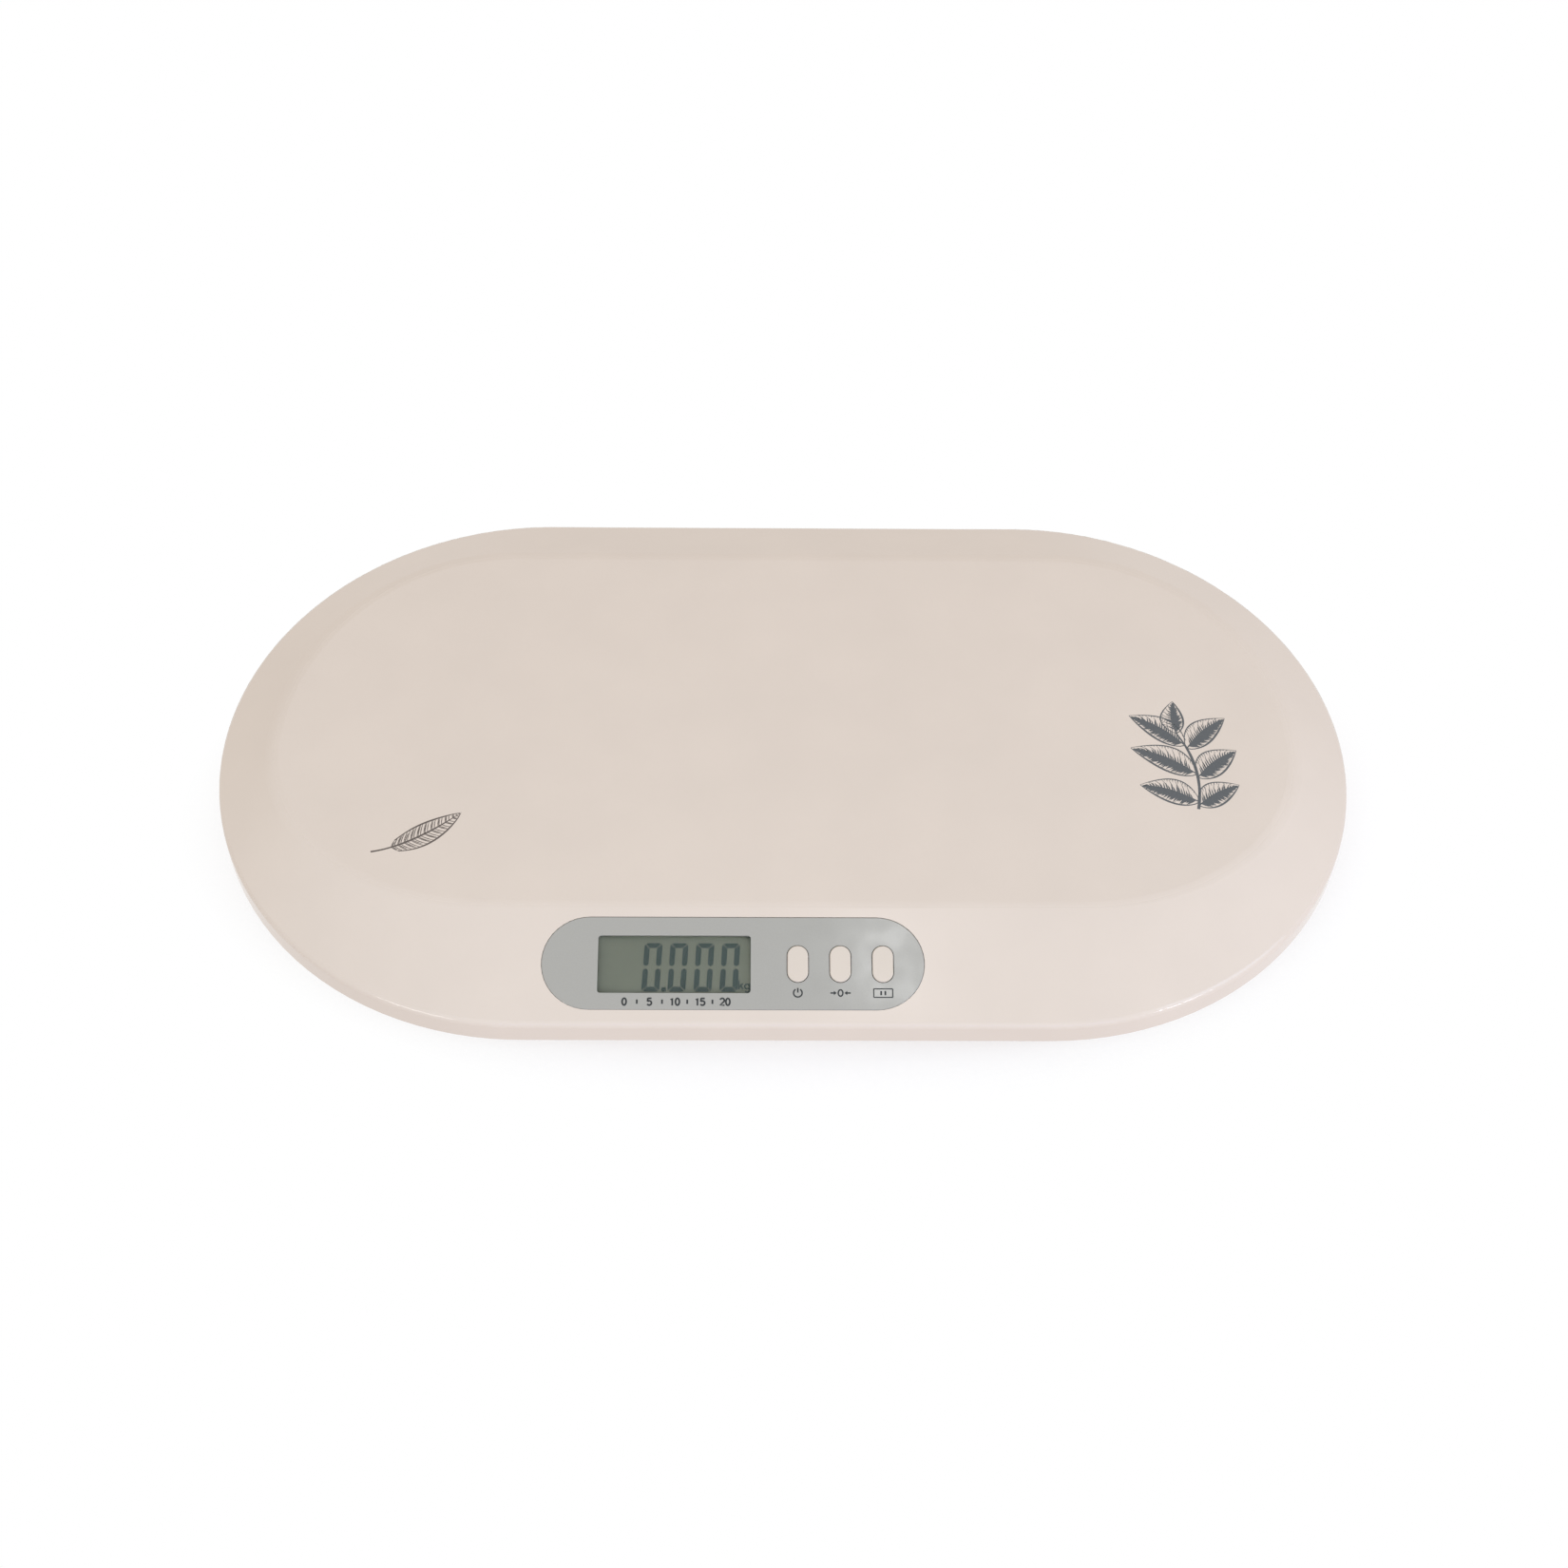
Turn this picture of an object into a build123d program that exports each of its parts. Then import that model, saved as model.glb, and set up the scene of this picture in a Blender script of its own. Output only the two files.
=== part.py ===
"""Digital baby weighing scale, modelled in millimetres.

An oval weighing platform with a flat raised deck carries its display on the front slope.
A closed base hangs under it and stands on four load-cell feet.
X runs along the platform, Y runs from the display towards the back, Z is up, and the
origin is at the centre of the footprint on the table.
"""
import os
from math import atan2, cos, hypot, radians, sin, tan

from build123d import *

os.makedirs("parts", exist_ok=True)

# ---- Platform -------------------------------------------------------------------------
length = 550.0  # tip to tip
width = 308.6  # front to back
skirt_bottom = 22.0  # lower edge of the skirt above the table
skirt_height = 12.2
deck_rise = 16.1  # flat deck above the skirt's top edge
front_band = 55.9  # plan width of the slope at the front, where the display sits
back_band = 35.8
tip_band = 27.7
deck_end = 109.3  # length of the deck's curved ends along X
deck_tip_y = -5.4  # the deck is widest a little in front of the centre line
platform_wall = 2.6
deck_round = 14.0  # soft ridge between deck and slope
rim_round = 3.0
rib_depth = 7.0
rib_thickness = 1.6
rib_pitch = 46.0
rib_margin = 10.0  # rib grid stops this far inside the deck outline

# ---- Base -----------------------------------------------------------------------------
base_bottom = 6.0
base_wall = 2.4
skirt_gap = 0.4  # base flange inside the skirt
flange_recess = 0.6  # flange above the skirt's lower edge
flange_thickness = 2.2
lip_height = 4.0
lip_thickness = 2.0
pan_inset = 15.0  # pan wall inside the skirt, at the flange
pan_taper = 5.0  # further inset at the pan's floor
pan_round = 4.0
floor_rib_height = 3.0
floor_rib_x = 60.0  # inner cross ribs
floor_rib_foot_gap = 55.0  # outer cross ribs, in from the feet

# ---- Case screws ----------------------------------------------------------------------
screw_side_inset = 42.3  # front and back screws, in from the platform's sides
screw_tip_inset = 37.0  # end screws, in from the tips
screw_console_gap = 23.65  # front screws, out from the end of the panel
screw_middle_x = 95.0
screw_back_x = 75.0
case_screw_radius = 1.45
case_head_radius = 3.1
case_head_height = 2.2
case_screw_bite = 10.0  # thread length inside the platform's boss
thread_gap = 0.05
screw_hole_gap = 0.25  # where a screw passes through freely
pilot_extra = 1.0  # pilot holes run on past the screws
well_radius = 6.0
well_bore_radius = 3.9
boss_radius = 4.0

# ---- Display console on the front slope -----------------------------------------------
panel_x = -24.0
panel_s = 29.7  # panel centre, measured up the slope from the skirt's top edge
panel_length = 174.7
panel_height = 44.0
panel_thickness = 2.2
panel_gap = 0.15
panel_edge_round = 0.4
console_margin = 4.5  # platform thickened this far around the panel
console_floor = 2.0  # platform left under the panel
window_x = -50.8
window_s = 29.2
window_length = 69.7
window_height = 27.4
window_corner = 1.5
lens_border = 1.8
lens_thickness = 1.0
lens_gap = 0.15
gasket_thickness = 0.3
gasket_setback = 0.5  # behind the window's edge, so it can't be seen
glass_border = 3.0
glass_thickness = 2.8
glass_gap = 0.5
holder_wall = 1.7
holder_gap = 0.3  # round the glass
holder_start = 0.2  # holder below the console floor
holder_ledge = 2.6
zebra_length = 66.0
zebra_thickness = 2.0
zebra_gap = 0.1

# ---- Buttons --------------------------------------------------------------------------
button_names = ("power", "tare", "hold")
button_x = 24.9  # middle button
button_s = 29.4
button_pitch = 19.4
button_length = 17.2
button_width = 9.5
button_gap = 0.35
button_proud = 0.6
button_round = 0.5
button_travel = 0.6
flange_border = 1.5
button_flange = 1.1
button_play = 0.3  # flange under the panel
flange_gap = 0.4  # round the flange, in the platform's opening
button_stem_radius = 2.0
button_stem = 1.0
switch_size = 6.0
switch_height = 3.4
switch_slack = 0.4  # left above the switch when the button is fully pressed
switch_bore_radius = 2.05
plunger_radius = 1.75
plunger_seat = 0.7  # plunger inside the switch at rest
plunger_floor_gap = 0.3

# ---- Circuit board --------------------------------------------------------------------
board_x = -20.0
board_length = 168.0
board_height = 38.0
board_thickness = 1.6
board_corner = 1.5
board_screw_inset = 5.0
board_boss_radius = 3.0
board_screw_radius = 0.95
board_head_radius = 1.9
board_head_height = 1.4
board_screw_bite = 4.0
connector_pitch = 32.0
connector_length = 8.0
connector_width = 6.0
connector_height = 4.0
connector_s = 42.0
lead_radius = 1.0
lead_depth = 2.0  # lead axis below the board's underside
lead_entry = 12.0  # straight run into a connector
lead_straight = 22.0  # straight run away from a load cell or the batteries
lead_bend_share = 0.45  # part of the shorter run that a bend takes up

# ---- Load-cell feet -------------------------------------------------------------------
foot_tip_inset = 95.0  # foot centres, in from the tips
foot_side_inset = 76.3  # foot centres, in from the sides
pad_radius = 14.5
pad_height = 2.4
pad_seat = 1.0  # pad inside the cup
pad_gap = 0.3
cup_radius = 17.0
cup_top = 7.6
cup_round = 1.0
foot_hole_gap = 1.0
foot_stem_radius = 5.0
frame_size = 42.0
frame_corner = 4.0
frame_height = 4.0
frame_hole_radius = 13.0
frame_lip = 2.0
frame_lip_height = 4.0
locator_radius = 1.4
locator_gap = 0.15
locator_recess = 0.4  # pins end below the top of the frame
locator_offset = 18.6
cell_size = 34.0
cell_thickness = 2.5
cell_corner = 3.0
cell_gap = 0.3
cell_slot = 2.5
tongue_width = 14.0
cell_rim = 5.0
gauge_length = 12.0
gauge_width = 8.0
gauge_height = 2.2
gauge_lead_lift = 0.1  # lead axis above the middle of the coating

# ---- Battery compartment --------------------------------------------------------------
battery_x = 0.0
battery_y = 30.0
battery_count = 3
battery_radius = 5.15
battery_length = 44.5
nub_radius = 1.9
nub_length = 1.0
battery_pitch = 11.3
plus_space = 1.2  # room for the contact at a battery's nub
minus_space = 4.8
compartment_margin = 0.6
battery_floor_gap = 0.6  # batteries above the door
ceiling_gap = 0.45
ceiling = 1.6
compartment_wall = 1.8
ledge_height = 4.4
door_ledge = 4.0
door_thickness = 2.0
door_gap = 0.4
door_clearance = 0.2
hook_offset = 18.0
hook_width = 8.0
hook_reach = 2.4
hook_thickness = 1.2
hook_riser = 2.5
hook_room = 0.5
latch_width = 12.0
latch_height = 3.6
latch_leaf = 1.0
latch_slot = 1.3
latch_room = 0.4
scoop_radius = 5.0
scoop_depth = 1.4
contact_thickness = 0.5
contact_width = 8.0
dimple_radius = 2.0
leaf_thickness = 0.4

overcut = 1.0  # how far a cutting solid runs past the faces it cuts
level_tolerance = 0.01  # heights this close count as the same

# ---- Derived places -------------------------------------------------------------------
half_width = width / 2
rim_z = skirt_bottom + skirt_height
deck_z = rim_z + deck_rise
slope_angle = atan2(deck_rise, front_band)
slope = Plane(
    origin=(0, -half_width, rim_z),
    x_dir=(1, 0, 0),
    z_dir=(0, -sin(slope_angle), cos(slope_angle)),
)
slope_out = Axis(slope.origin, slope.z_dir)
flange_z = skirt_bottom + flange_recess
flange_top = flange_z + flange_thickness
floor_z = base_bottom + base_wall
screw_seat = flange_top - base_wall
screw_front_x = panel_length / 2 - panel_x + screw_console_gap
screw_y = half_width - screw_side_inset
case_screw_points = [
    (sx * x, y)
    for x, y in (
        (screw_back_x, screw_y),
        (length / 2 - screw_tip_inset, 0),
        (screw_front_x, -screw_y),
        (screw_middle_x, 0),
    )
    for sx in (-1, 1)
]

console_depth = panel_thickness + console_floor
glass_depth = panel_thickness + gasket_thickness
glass_back = glass_depth + glass_thickness
flange_depth = panel_thickness + button_play
stem_depth = flange_depth + button_flange
plunger_depth = stem_depth + button_stem
switch_depth = plunger_depth + button_travel + switch_slack
board_depth = switch_depth + switch_height
board_back = board_depth + board_thickness
glass_length = window_length + 2 * glass_border
glass_height = window_height + 2 * glass_border
holder_depth = console_depth + holder_start
holder_bore = (glass_length - 2 * holder_ledge, glass_height - 2 * holder_ledge + zebra_thickness)
button_spots = [(button_x + (i - 1) * button_pitch, button_s) for i in range(len(button_names))]
board_screw_spots = [
    (
        board_x + sx * (board_length / 2 - board_screw_inset),
        window_s + sy * (board_height / 2 - board_screw_inset),
    )
    for sx in (-1, 1)
    for sy in (-1, 1)
]
connector_spots = [(board_x + i * connector_pitch, connector_s) for i in (-2, -1, 0, 1, 2)]
connector_back = connector_s + connector_width / 2

foot_corners = {
    "front_left": (-1, -1),
    "front_right": (1, -1),
    "back_left": (-1, 1),
    "back_right": (1, 1),
}
foot_x = length / 2 - foot_tip_inset
foot_y = half_width - foot_side_inset
foot_spots = [(sx * foot_x, sy * foot_y) for sx, sy in foot_corners.values()]
floor_rib_columns = [sx * x for x in (floor_rib_x, foot_x - floor_rib_foot_gap) for sx in (-1, 1)]
cell_z = floor_z + frame_height
gauge_z = cell_z + cell_thickness

compartment_length = battery_length + plus_space + minus_space
compartment_width = battery_count * battery_pitch + compartment_margin
door_length = compartment_length + 2 * door_ledge
door_width = compartment_width + 2 * door_ledge
door_front = battery_y - door_width / 2
door_back = battery_y + door_width / 2
door_top = base_bottom + door_thickness
rebate_top = door_top + door_clearance
battery_z = door_top + battery_floor_gap + battery_radius
ceiling_z = battery_z + battery_radius + ceiling_gap
compartment_top = ceiling_z + ceiling
hinge_y = door_front + door_thickness / 2
hinge_z = base_bottom + door_thickness / 2
hook_slot_depth = hook_reach + door_gap + hook_room


def save(piece, name):
    """Label a finished piece and write it as its own STEP file."""
    piece.part.label = name
    export_step(piece.part, f"parts/{name}.step")


def oval(half_straight, end, front, back, tip_y):
    """Two straight sides joined by ends that are quarter ellipses either side of tip_y."""
    with BuildSketch() as outline:
        with BuildLine():
            for y in (front, back):
                Line((-half_straight, y), (half_straight, y))
            for x, start in ((half_straight, 0), (-half_straight, 90)):
                EllipticalCenterArc((x, tip_y), end, back - tip_y, start, arc_size=90)
            for x, start in ((half_straight, 270), (-half_straight, 180)):
                EllipticalCenterArc((x, tip_y), end, tip_y - front, start, arc_size=90)
        make_face()
    return outline.sketch


def body_outline(inset):
    """The platform's plan outline: straight sides and half-round ends."""
    reach = half_width - inset
    return oval(length / 2 - half_width, reach, -reach, reach, 0)


def deck_outline(inset):
    """The flat deck's plan outline, set back further at the front than behind."""
    half_straight = length / 2 - tip_band - deck_end
    return oval(
        half_straight,
        deck_end - inset,
        front_band - half_width + inset,
        half_width - back_band - inset,
        deck_tip_y,
    )


def platform_form(inset, bottom):
    """The platform as a solid, or inset by a wall thickness to give the hollow inside it."""
    edge_z = rim_z - inset * (1 - sin(slope_angle)) / cos(slope_angle)
    with BuildPart() as form:
        with BuildSketch(Plane.XY.offset(bottom)):
            add(body_outline(inset))
        extrude(amount=edge_z - bottom)
        with BuildSketch(Plane.XY.offset(edge_z)):
            add(body_outline(inset))
        with BuildSketch(Plane.XY.offset(deck_z - inset)):
            add(deck_outline(inset * tan(slope_angle / 2)))
        loft(ruled=True)
    return form.part


def pan_form(inset, top, bottom):
    """The base pan's tapered form, or the hollow inside it."""
    with BuildPart() as form:
        with BuildSketch(Plane.XY.offset(top)):
            add(body_outline(pan_inset + inset))
        with BuildSketch(Plane.XY.offset(bottom)):
            add(body_outline(pan_inset + pan_taper + inset))
        loft(ruled=True)
    return form.part


def flat_edges_at(builder, z):
    """Edges that lie level at one height."""
    return builder.edges().filter_by(
        lambda e: e.bounding_box().size.Z < level_tolerance and abs(e.center().Z - z) < level_tolerance
    )


# ---- Platform tray --------------------------------------------------------------------
outer_form = platform_form(0, skirt_bottom)
hollow_form = platform_form(platform_wall, skirt_bottom - overcut)
mid_wall_form = platform_form(platform_wall / 2, flange_top)
rib_bottom = deck_z - platform_wall - rib_depth
rib_rows = 2 * int(half_width / rib_pitch) + 1
rib_columns = 2 * int(length / 2 / rib_pitch) + 1

with BuildPart() as tray_inside:
    with BuildSketch(Plane.XY.offset(rib_bottom)):
        with GridLocations(0, rib_pitch, 1, rib_rows):
            Rectangle(length, rib_thickness)
        with GridLocations(rib_pitch, 0, rib_columns, 1):
            Rectangle(rib_thickness, width)
    extrude(amount=rib_depth + platform_wall / 2)
    with BuildSketch(Plane.XY.offset(rib_bottom - overcut)):
        add(deck_outline(rib_margin))
    extrude(amount=rib_depth + platform_wall + overcut, mode=Mode.INTERSECT)
    with BuildSketch(Plane.XY.offset(flange_top)):
        with Locations(*case_screw_points):
            Circle(boss_radius)
    extrude(amount=deck_z - flange_top)
    add(mid_wall_form, mode=Mode.INTERSECT)

with BuildPart() as top_tray:
    add(outer_form)
    fillet(flat_edges_at(top_tray, deck_z), radius=deck_round)
    fillet(flat_edges_at(top_tray, rim_z), radius=rim_round)
    add(hollow_form, mode=Mode.SUBTRACT)
    add(tray_inside.part)
    # Thickened console that carries the display panel in a recess.
    with BuildSketch(slope.offset(-platform_wall / 2)):
        with Locations((panel_x, panel_s)):
            SlotOverall(panel_length + 2 * console_margin, panel_height + 2 * console_margin)
    extrude(amount=platform_wall / 2 - console_depth)
    with BuildSketch(slope.offset(-platform_wall / 2)):
        with Locations(*board_screw_spots):
            Circle(board_boss_radius)
    extrude(amount=platform_wall / 2 - board_depth)
    with BuildSketch(slope):
        with Locations((panel_x, panel_s)):
            SlotOverall(panel_length + 2 * panel_gap, panel_height + 2 * panel_gap)
    extrude(amount=-panel_thickness, mode=Mode.SUBTRACT)
    with BuildSketch(slope):
        with Locations((window_x, window_s)):
            Rectangle(glass_length + 2 * glass_gap, glass_height + 2 * glass_gap)
        with Locations(*button_spots):
            SlotOverall(
                button_length + 2 * (flange_border + flange_gap),
                button_width + 2 * (flange_border + flange_gap),
                rotation=90,
            )
    extrude(amount=-console_depth - overcut, mode=Mode.SUBTRACT)
    # Pilot holes for the board screws and the case screws.
    with BuildSketch(slope.offset(-board_depth)):
        with Locations(*board_screw_spots):
            Circle(board_screw_radius + thread_gap)
    extrude(amount=board_screw_bite + pilot_extra, mode=Mode.SUBTRACT)
    with BuildSketch(Plane.XY.offset(flange_top)):
        with Locations(*case_screw_points):
            Circle(case_screw_radius + thread_gap)
    extrude(amount=case_screw_bite + pilot_extra, mode=Mode.SUBTRACT)
save(top_tray, "top_tray")

# ---- Base -----------------------------------------------------------------------------
flange_inset = platform_wall + skirt_gap
pan_outside = pan_form(0, flange_z, base_bottom)
pan_inside = pan_form(base_wall, flange_top, floor_z)
pan_mid_wall = pan_form(base_wall / 2, flange_top, floor_z - base_wall / 2)

with BuildPart() as floor_ribs:
    with BuildSketch(Plane.XY.offset(floor_z - base_wall / 2)):
        with Locations(*[(x, 0) for x in floor_rib_columns]):
            Rectangle(rib_thickness, width)
        Rectangle(length, rib_thickness)
    extrude(amount=floor_rib_height + base_wall / 2)
    add(pan_mid_wall, mode=Mode.INTERSECT)

with BuildPart() as bottom_base:
    add(pan_outside)
    fillet(flat_edges_at(bottom_base, base_bottom), radius=pan_round)
    with BuildSketch(Plane.XY.offset(flange_z)):
        add(body_outline(flange_inset))
    extrude(amount=flange_thickness)
    with BuildSketch(Plane.XY.offset(flange_top)):
        add(body_outline(flange_inset))
        add(body_outline(flange_inset + lip_thickness), mode=Mode.SUBTRACT)
    extrude(amount=lip_height)
    add(pan_inside, mode=Mode.SUBTRACT)
    # Ribs across the floor, the battery compartment and the screw wells.
    add(floor_ribs.part)
    with BuildSketch(Plane.XY.offset(base_bottom)):
        with Locations((battery_x, battery_y)):
            Rectangle(
                door_length + 2 * (door_gap + base_wall),
                door_width + 2 * (door_gap + base_wall),
            )
    extrude(amount=rebate_top + ledge_height - base_bottom)
    with BuildSketch(Plane.XY.offset(floor_z)):
        with Locations((battery_x, battery_y)):
            Rectangle(
                compartment_length + 2 * compartment_wall,
                compartment_width + 2 * compartment_wall,
            )
    extrude(amount=compartment_top - floor_z)
    with BuildSketch(Plane.XY.offset(base_bottom)):
        with Locations(*case_screw_points):
            Circle(well_radius)
    extrude(amount=flange_top - base_bottom)
    with BuildSketch(Plane.XY.offset(floor_z)):
        for spot in foot_spots:
            with Locations(spot):
                with GridLocations(2 * locator_offset, 0, 2, 1):
                    Circle(locator_radius)
    extrude(amount=frame_height - locator_recess)
    # Openings: screw wells, feet, batteries and their door.
    with BuildSketch(Plane.XY.offset(base_bottom)):
        with Locations(*case_screw_points):
            Circle(well_bore_radius)
    extrude(amount=screw_seat - base_bottom, mode=Mode.SUBTRACT)
    with BuildSketch(Plane.XY.offset(screw_seat)):
        with Locations(*case_screw_points):
            Circle(case_screw_radius + screw_hole_gap)
    extrude(amount=base_wall, mode=Mode.SUBTRACT)
    with BuildSketch(Plane.XY.offset(base_bottom)):
        with Locations(*foot_spots):
            Circle(cup_radius + foot_hole_gap)
    extrude(amount=base_wall, mode=Mode.SUBTRACT)
    with BuildSketch(Plane.XY.offset(base_bottom)):
        with Locations((battery_x, battery_y)):
            Rectangle(door_length + 2 * door_gap, door_width + 2 * door_gap)
    extrude(amount=rebate_top - base_bottom, mode=Mode.SUBTRACT)
    with BuildSketch(Plane.XY.offset(base_bottom)):
        with Locations((battery_x, battery_y)):
            Rectangle(compartment_length, compartment_width)
    extrude(amount=ceiling_z - base_bottom, mode=Mode.SUBTRACT)
    # Slots behind the door's hooks, the latch pocket and the finger scoop.
    with BuildSketch(Plane.XY.offset(door_top)):
        with Locations((battery_x - hook_offset, 0), (battery_x + hook_offset, 0)):
            with Locations((0, door_front - hook_slot_depth)):
                Rectangle(
                    hook_width + 2 * hook_room,
                    hook_slot_depth + door_ledge + overcut,
                    align=(Align.CENTER, Align.MIN),
                )
    extrude(amount=hook_reach + hook_thickness, mode=Mode.SUBTRACT)
    with BuildSketch(Plane.XY.offset(door_top)):
        with Locations((battery_x, door_back + door_gap)):
            Rectangle(
                latch_width + 2 * hook_room,
                door_ledge + door_gap + overcut,
                align=(Align.CENTER, Align.MAX),
            )
    extrude(amount=latch_height + latch_room, mode=Mode.SUBTRACT)
    with BuildSketch(Plane.YZ.offset(battery_x - latch_width / 2)):
        with Locations(
            (door_back + scoop_radius - scoop_depth, base_bottom + scoop_depth - scoop_radius)
        ):
            Circle(scoop_radius)
    extrude(amount=latch_width, mode=Mode.SUBTRACT)
save(bottom_base, "bottom_base")

# ---- Display --------------------------------------------------------------------------
with BuildPart() as display_panel:
    with BuildSketch(slope):
        with Locations((panel_x, panel_s)):
            SlotOverall(panel_length, panel_height)
    extrude(amount=-panel_thickness)
    fillet(display_panel.faces().sort_by(slope_out)[-1].edges(), radius=panel_edge_round)
    with BuildSketch(slope):
        with Locations((window_x, window_s)):
            RectangleRounded(window_length, window_height, window_corner)
        with Locations(*button_spots):
            SlotOverall(button_length + 2 * button_gap, button_width + 2 * button_gap, rotation=90)
    extrude(amount=-panel_thickness, mode=Mode.SUBTRACT)
    # Rebate behind the window for the lens.
    with BuildSketch(slope.offset(-panel_thickness)):
        with Locations((window_x, window_s)):
            Rectangle(
                window_length + 2 * (lens_border + lens_gap),
                window_height + 2 * (lens_border + lens_gap),
            )
    extrude(amount=lens_thickness, mode=Mode.SUBTRACT)
save(display_panel, "display_panel")

with BuildPart() as display_lens:
    with BuildSketch(slope.offset(-panel_thickness)):
        with Locations((window_x, window_s)):
            Rectangle(window_length + 2 * lens_border, window_height + 2 * lens_border)
    extrude(amount=lens_thickness)
save(display_lens, "display_lens")

with BuildPart() as lcd_gasket:
    with BuildSketch(slope.offset(-panel_thickness)):
        with Locations((window_x, window_s)):
            Rectangle(glass_length - 2 * lens_gap, glass_height - 2 * lens_gap)
            Rectangle(
                window_length + 2 * gasket_setback,
                window_height + 2 * gasket_setback,
                mode=Mode.SUBTRACT,
            )
    extrude(amount=-gasket_thickness)
save(lcd_gasket, "lcd_gasket")

with BuildPart() as lcd_glass:
    with BuildSketch(slope.offset(-glass_depth)):
        with Locations((window_x, window_s)):
            Rectangle(glass_length, glass_height)
    extrude(amount=-glass_thickness)
save(lcd_glass, "lcd_glass")

with BuildPart() as lcd_holder:
    with BuildSketch(slope.offset(-holder_depth)):
        with Locations((window_x, window_s)):
            Rectangle(
                glass_length + 2 * (holder_gap + holder_wall),
                glass_height + 2 * (holder_gap + holder_wall),
            )
    extrude(amount=holder_depth - board_depth)
    with BuildSketch(slope.offset(-holder_depth)):
        with Locations((window_x, window_s)):
            Rectangle(glass_length + 2 * holder_gap, glass_height + 2 * holder_gap)
    extrude(amount=holder_depth - glass_back, mode=Mode.SUBTRACT)
    with BuildSketch(slope.offset(-holder_depth)):
        with Locations((window_x, window_s)):
            Rectangle(*holder_bore)
    extrude(amount=holder_depth - board_depth, mode=Mode.SUBTRACT)
save(lcd_holder, "lcd_holder")

with BuildPart() as zebra_strips:
    with BuildSketch(slope.offset(-glass_back)):
        with Locations((window_x, window_s)):
            with GridLocations(0, holder_bore[1] - zebra_thickness - 2 * zebra_gap, 1, 2):
                Rectangle(zebra_length, zebra_thickness)
    extrude(amount=glass_back - board_depth)
save(zebra_strips, "zebra_strips")

# ---- Circuit board --------------------------------------------------------------------
with BuildPart() as main_board:
    with BuildSketch(slope.offset(-board_depth)):
        with Locations((board_x, window_s)):
            RectangleRounded(board_length, board_height, board_corner)
        with Locations(*board_screw_spots):
            Circle(board_screw_radius + thread_gap, mode=Mode.SUBTRACT)
    extrude(amount=-board_thickness)
save(main_board, "main_board")

with BuildPart() as board_screws:
    with BuildSketch(slope.offset(-board_back)):
        with Locations(*board_screw_spots):
            Circle(board_head_radius)
    extrude(amount=-board_head_height)
    with BuildSketch(slope.offset(-board_back)):
        with Locations(*board_screw_spots):
            Circle(board_screw_radius)
    extrude(amount=board_thickness + board_screw_bite)
save(board_screws, "board_screws")

with BuildPart() as board_connectors:
    with BuildSketch(slope.offset(-board_back)):
        with Locations(*connector_spots):
            Rectangle(connector_length, connector_width)
    extrude(amount=-connector_height)
save(board_connectors, "board_connectors")

# ---- Buttons, each over its own switch ------------------------------------------------
for button_name, spot in zip(button_names, button_spots):
    with BuildPart() as button:
        with BuildSketch(slope.offset(button_proud)):
            with Locations(spot):
                SlotOverall(button_length, button_width, rotation=90)
        extrude(amount=-button_proud - flange_depth)
        fillet(button.faces().sort_by(slope_out)[-1].edges(), radius=button_round)
        with BuildSketch(slope.offset(-flange_depth)):
            with Locations(spot):
                SlotOverall(
                    button_length + 2 * flange_border, button_width + 2 * flange_border, rotation=90
                )
        extrude(amount=-button_flange)
        with BuildSketch(slope.offset(-stem_depth)):
            with Locations(spot):
                Circle(button_stem_radius)
        extrude(amount=-button_stem)
    save(button, f"button_{button_name}")

    with BuildPart() as switch_plunger:
        with BuildSketch(slope.offset(-plunger_depth)):
            with Locations(spot):
                Circle(plunger_radius)
        extrude(amount=plunger_depth - switch_depth - plunger_seat)
    save(switch_plunger, f"plunger_{button_name}")

    with BuildPart() as tact_switch:
        with BuildSketch(slope.offset(-board_depth)):
            with Locations(spot):
                Rectangle(switch_size, switch_size)
        extrude(amount=switch_height)
        with BuildSketch(slope.offset(-switch_depth)):
            with Locations(spot):
                Circle(switch_bore_radius)
        extrude(amount=-plunger_seat - button_travel - plunger_floor_gap, mode=Mode.SUBTRACT)
    save(tact_switch, f"switch_{button_name}")

# ---- Case screws ----------------------------------------------------------------------
with BuildPart() as case_screws:
    with BuildSketch(Plane.XY.offset(screw_seat)):
        with Locations(*case_screw_points):
            Circle(case_head_radius)
    extrude(amount=-case_head_height)
    fillet(flat_edges_at(case_screws, screw_seat - case_head_height), radius=case_head_height / 3)
    with BuildSketch(Plane.XY.offset(screw_seat)):
        with Locations(*case_screw_points):
            Circle(case_screw_radius)
    extrude(amount=base_wall + case_screw_bite)
    with BuildSketch(Plane.XY.offset(screw_seat - case_head_height)):
        for point in case_screw_points:
            with Locations(point):
                Rectangle(case_head_radius, case_head_height / 3)
                Rectangle(case_head_height / 3, case_head_radius)
    extrude(amount=case_head_height / 2, mode=Mode.SUBTRACT)
save(case_screws, "case_screws")

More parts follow.
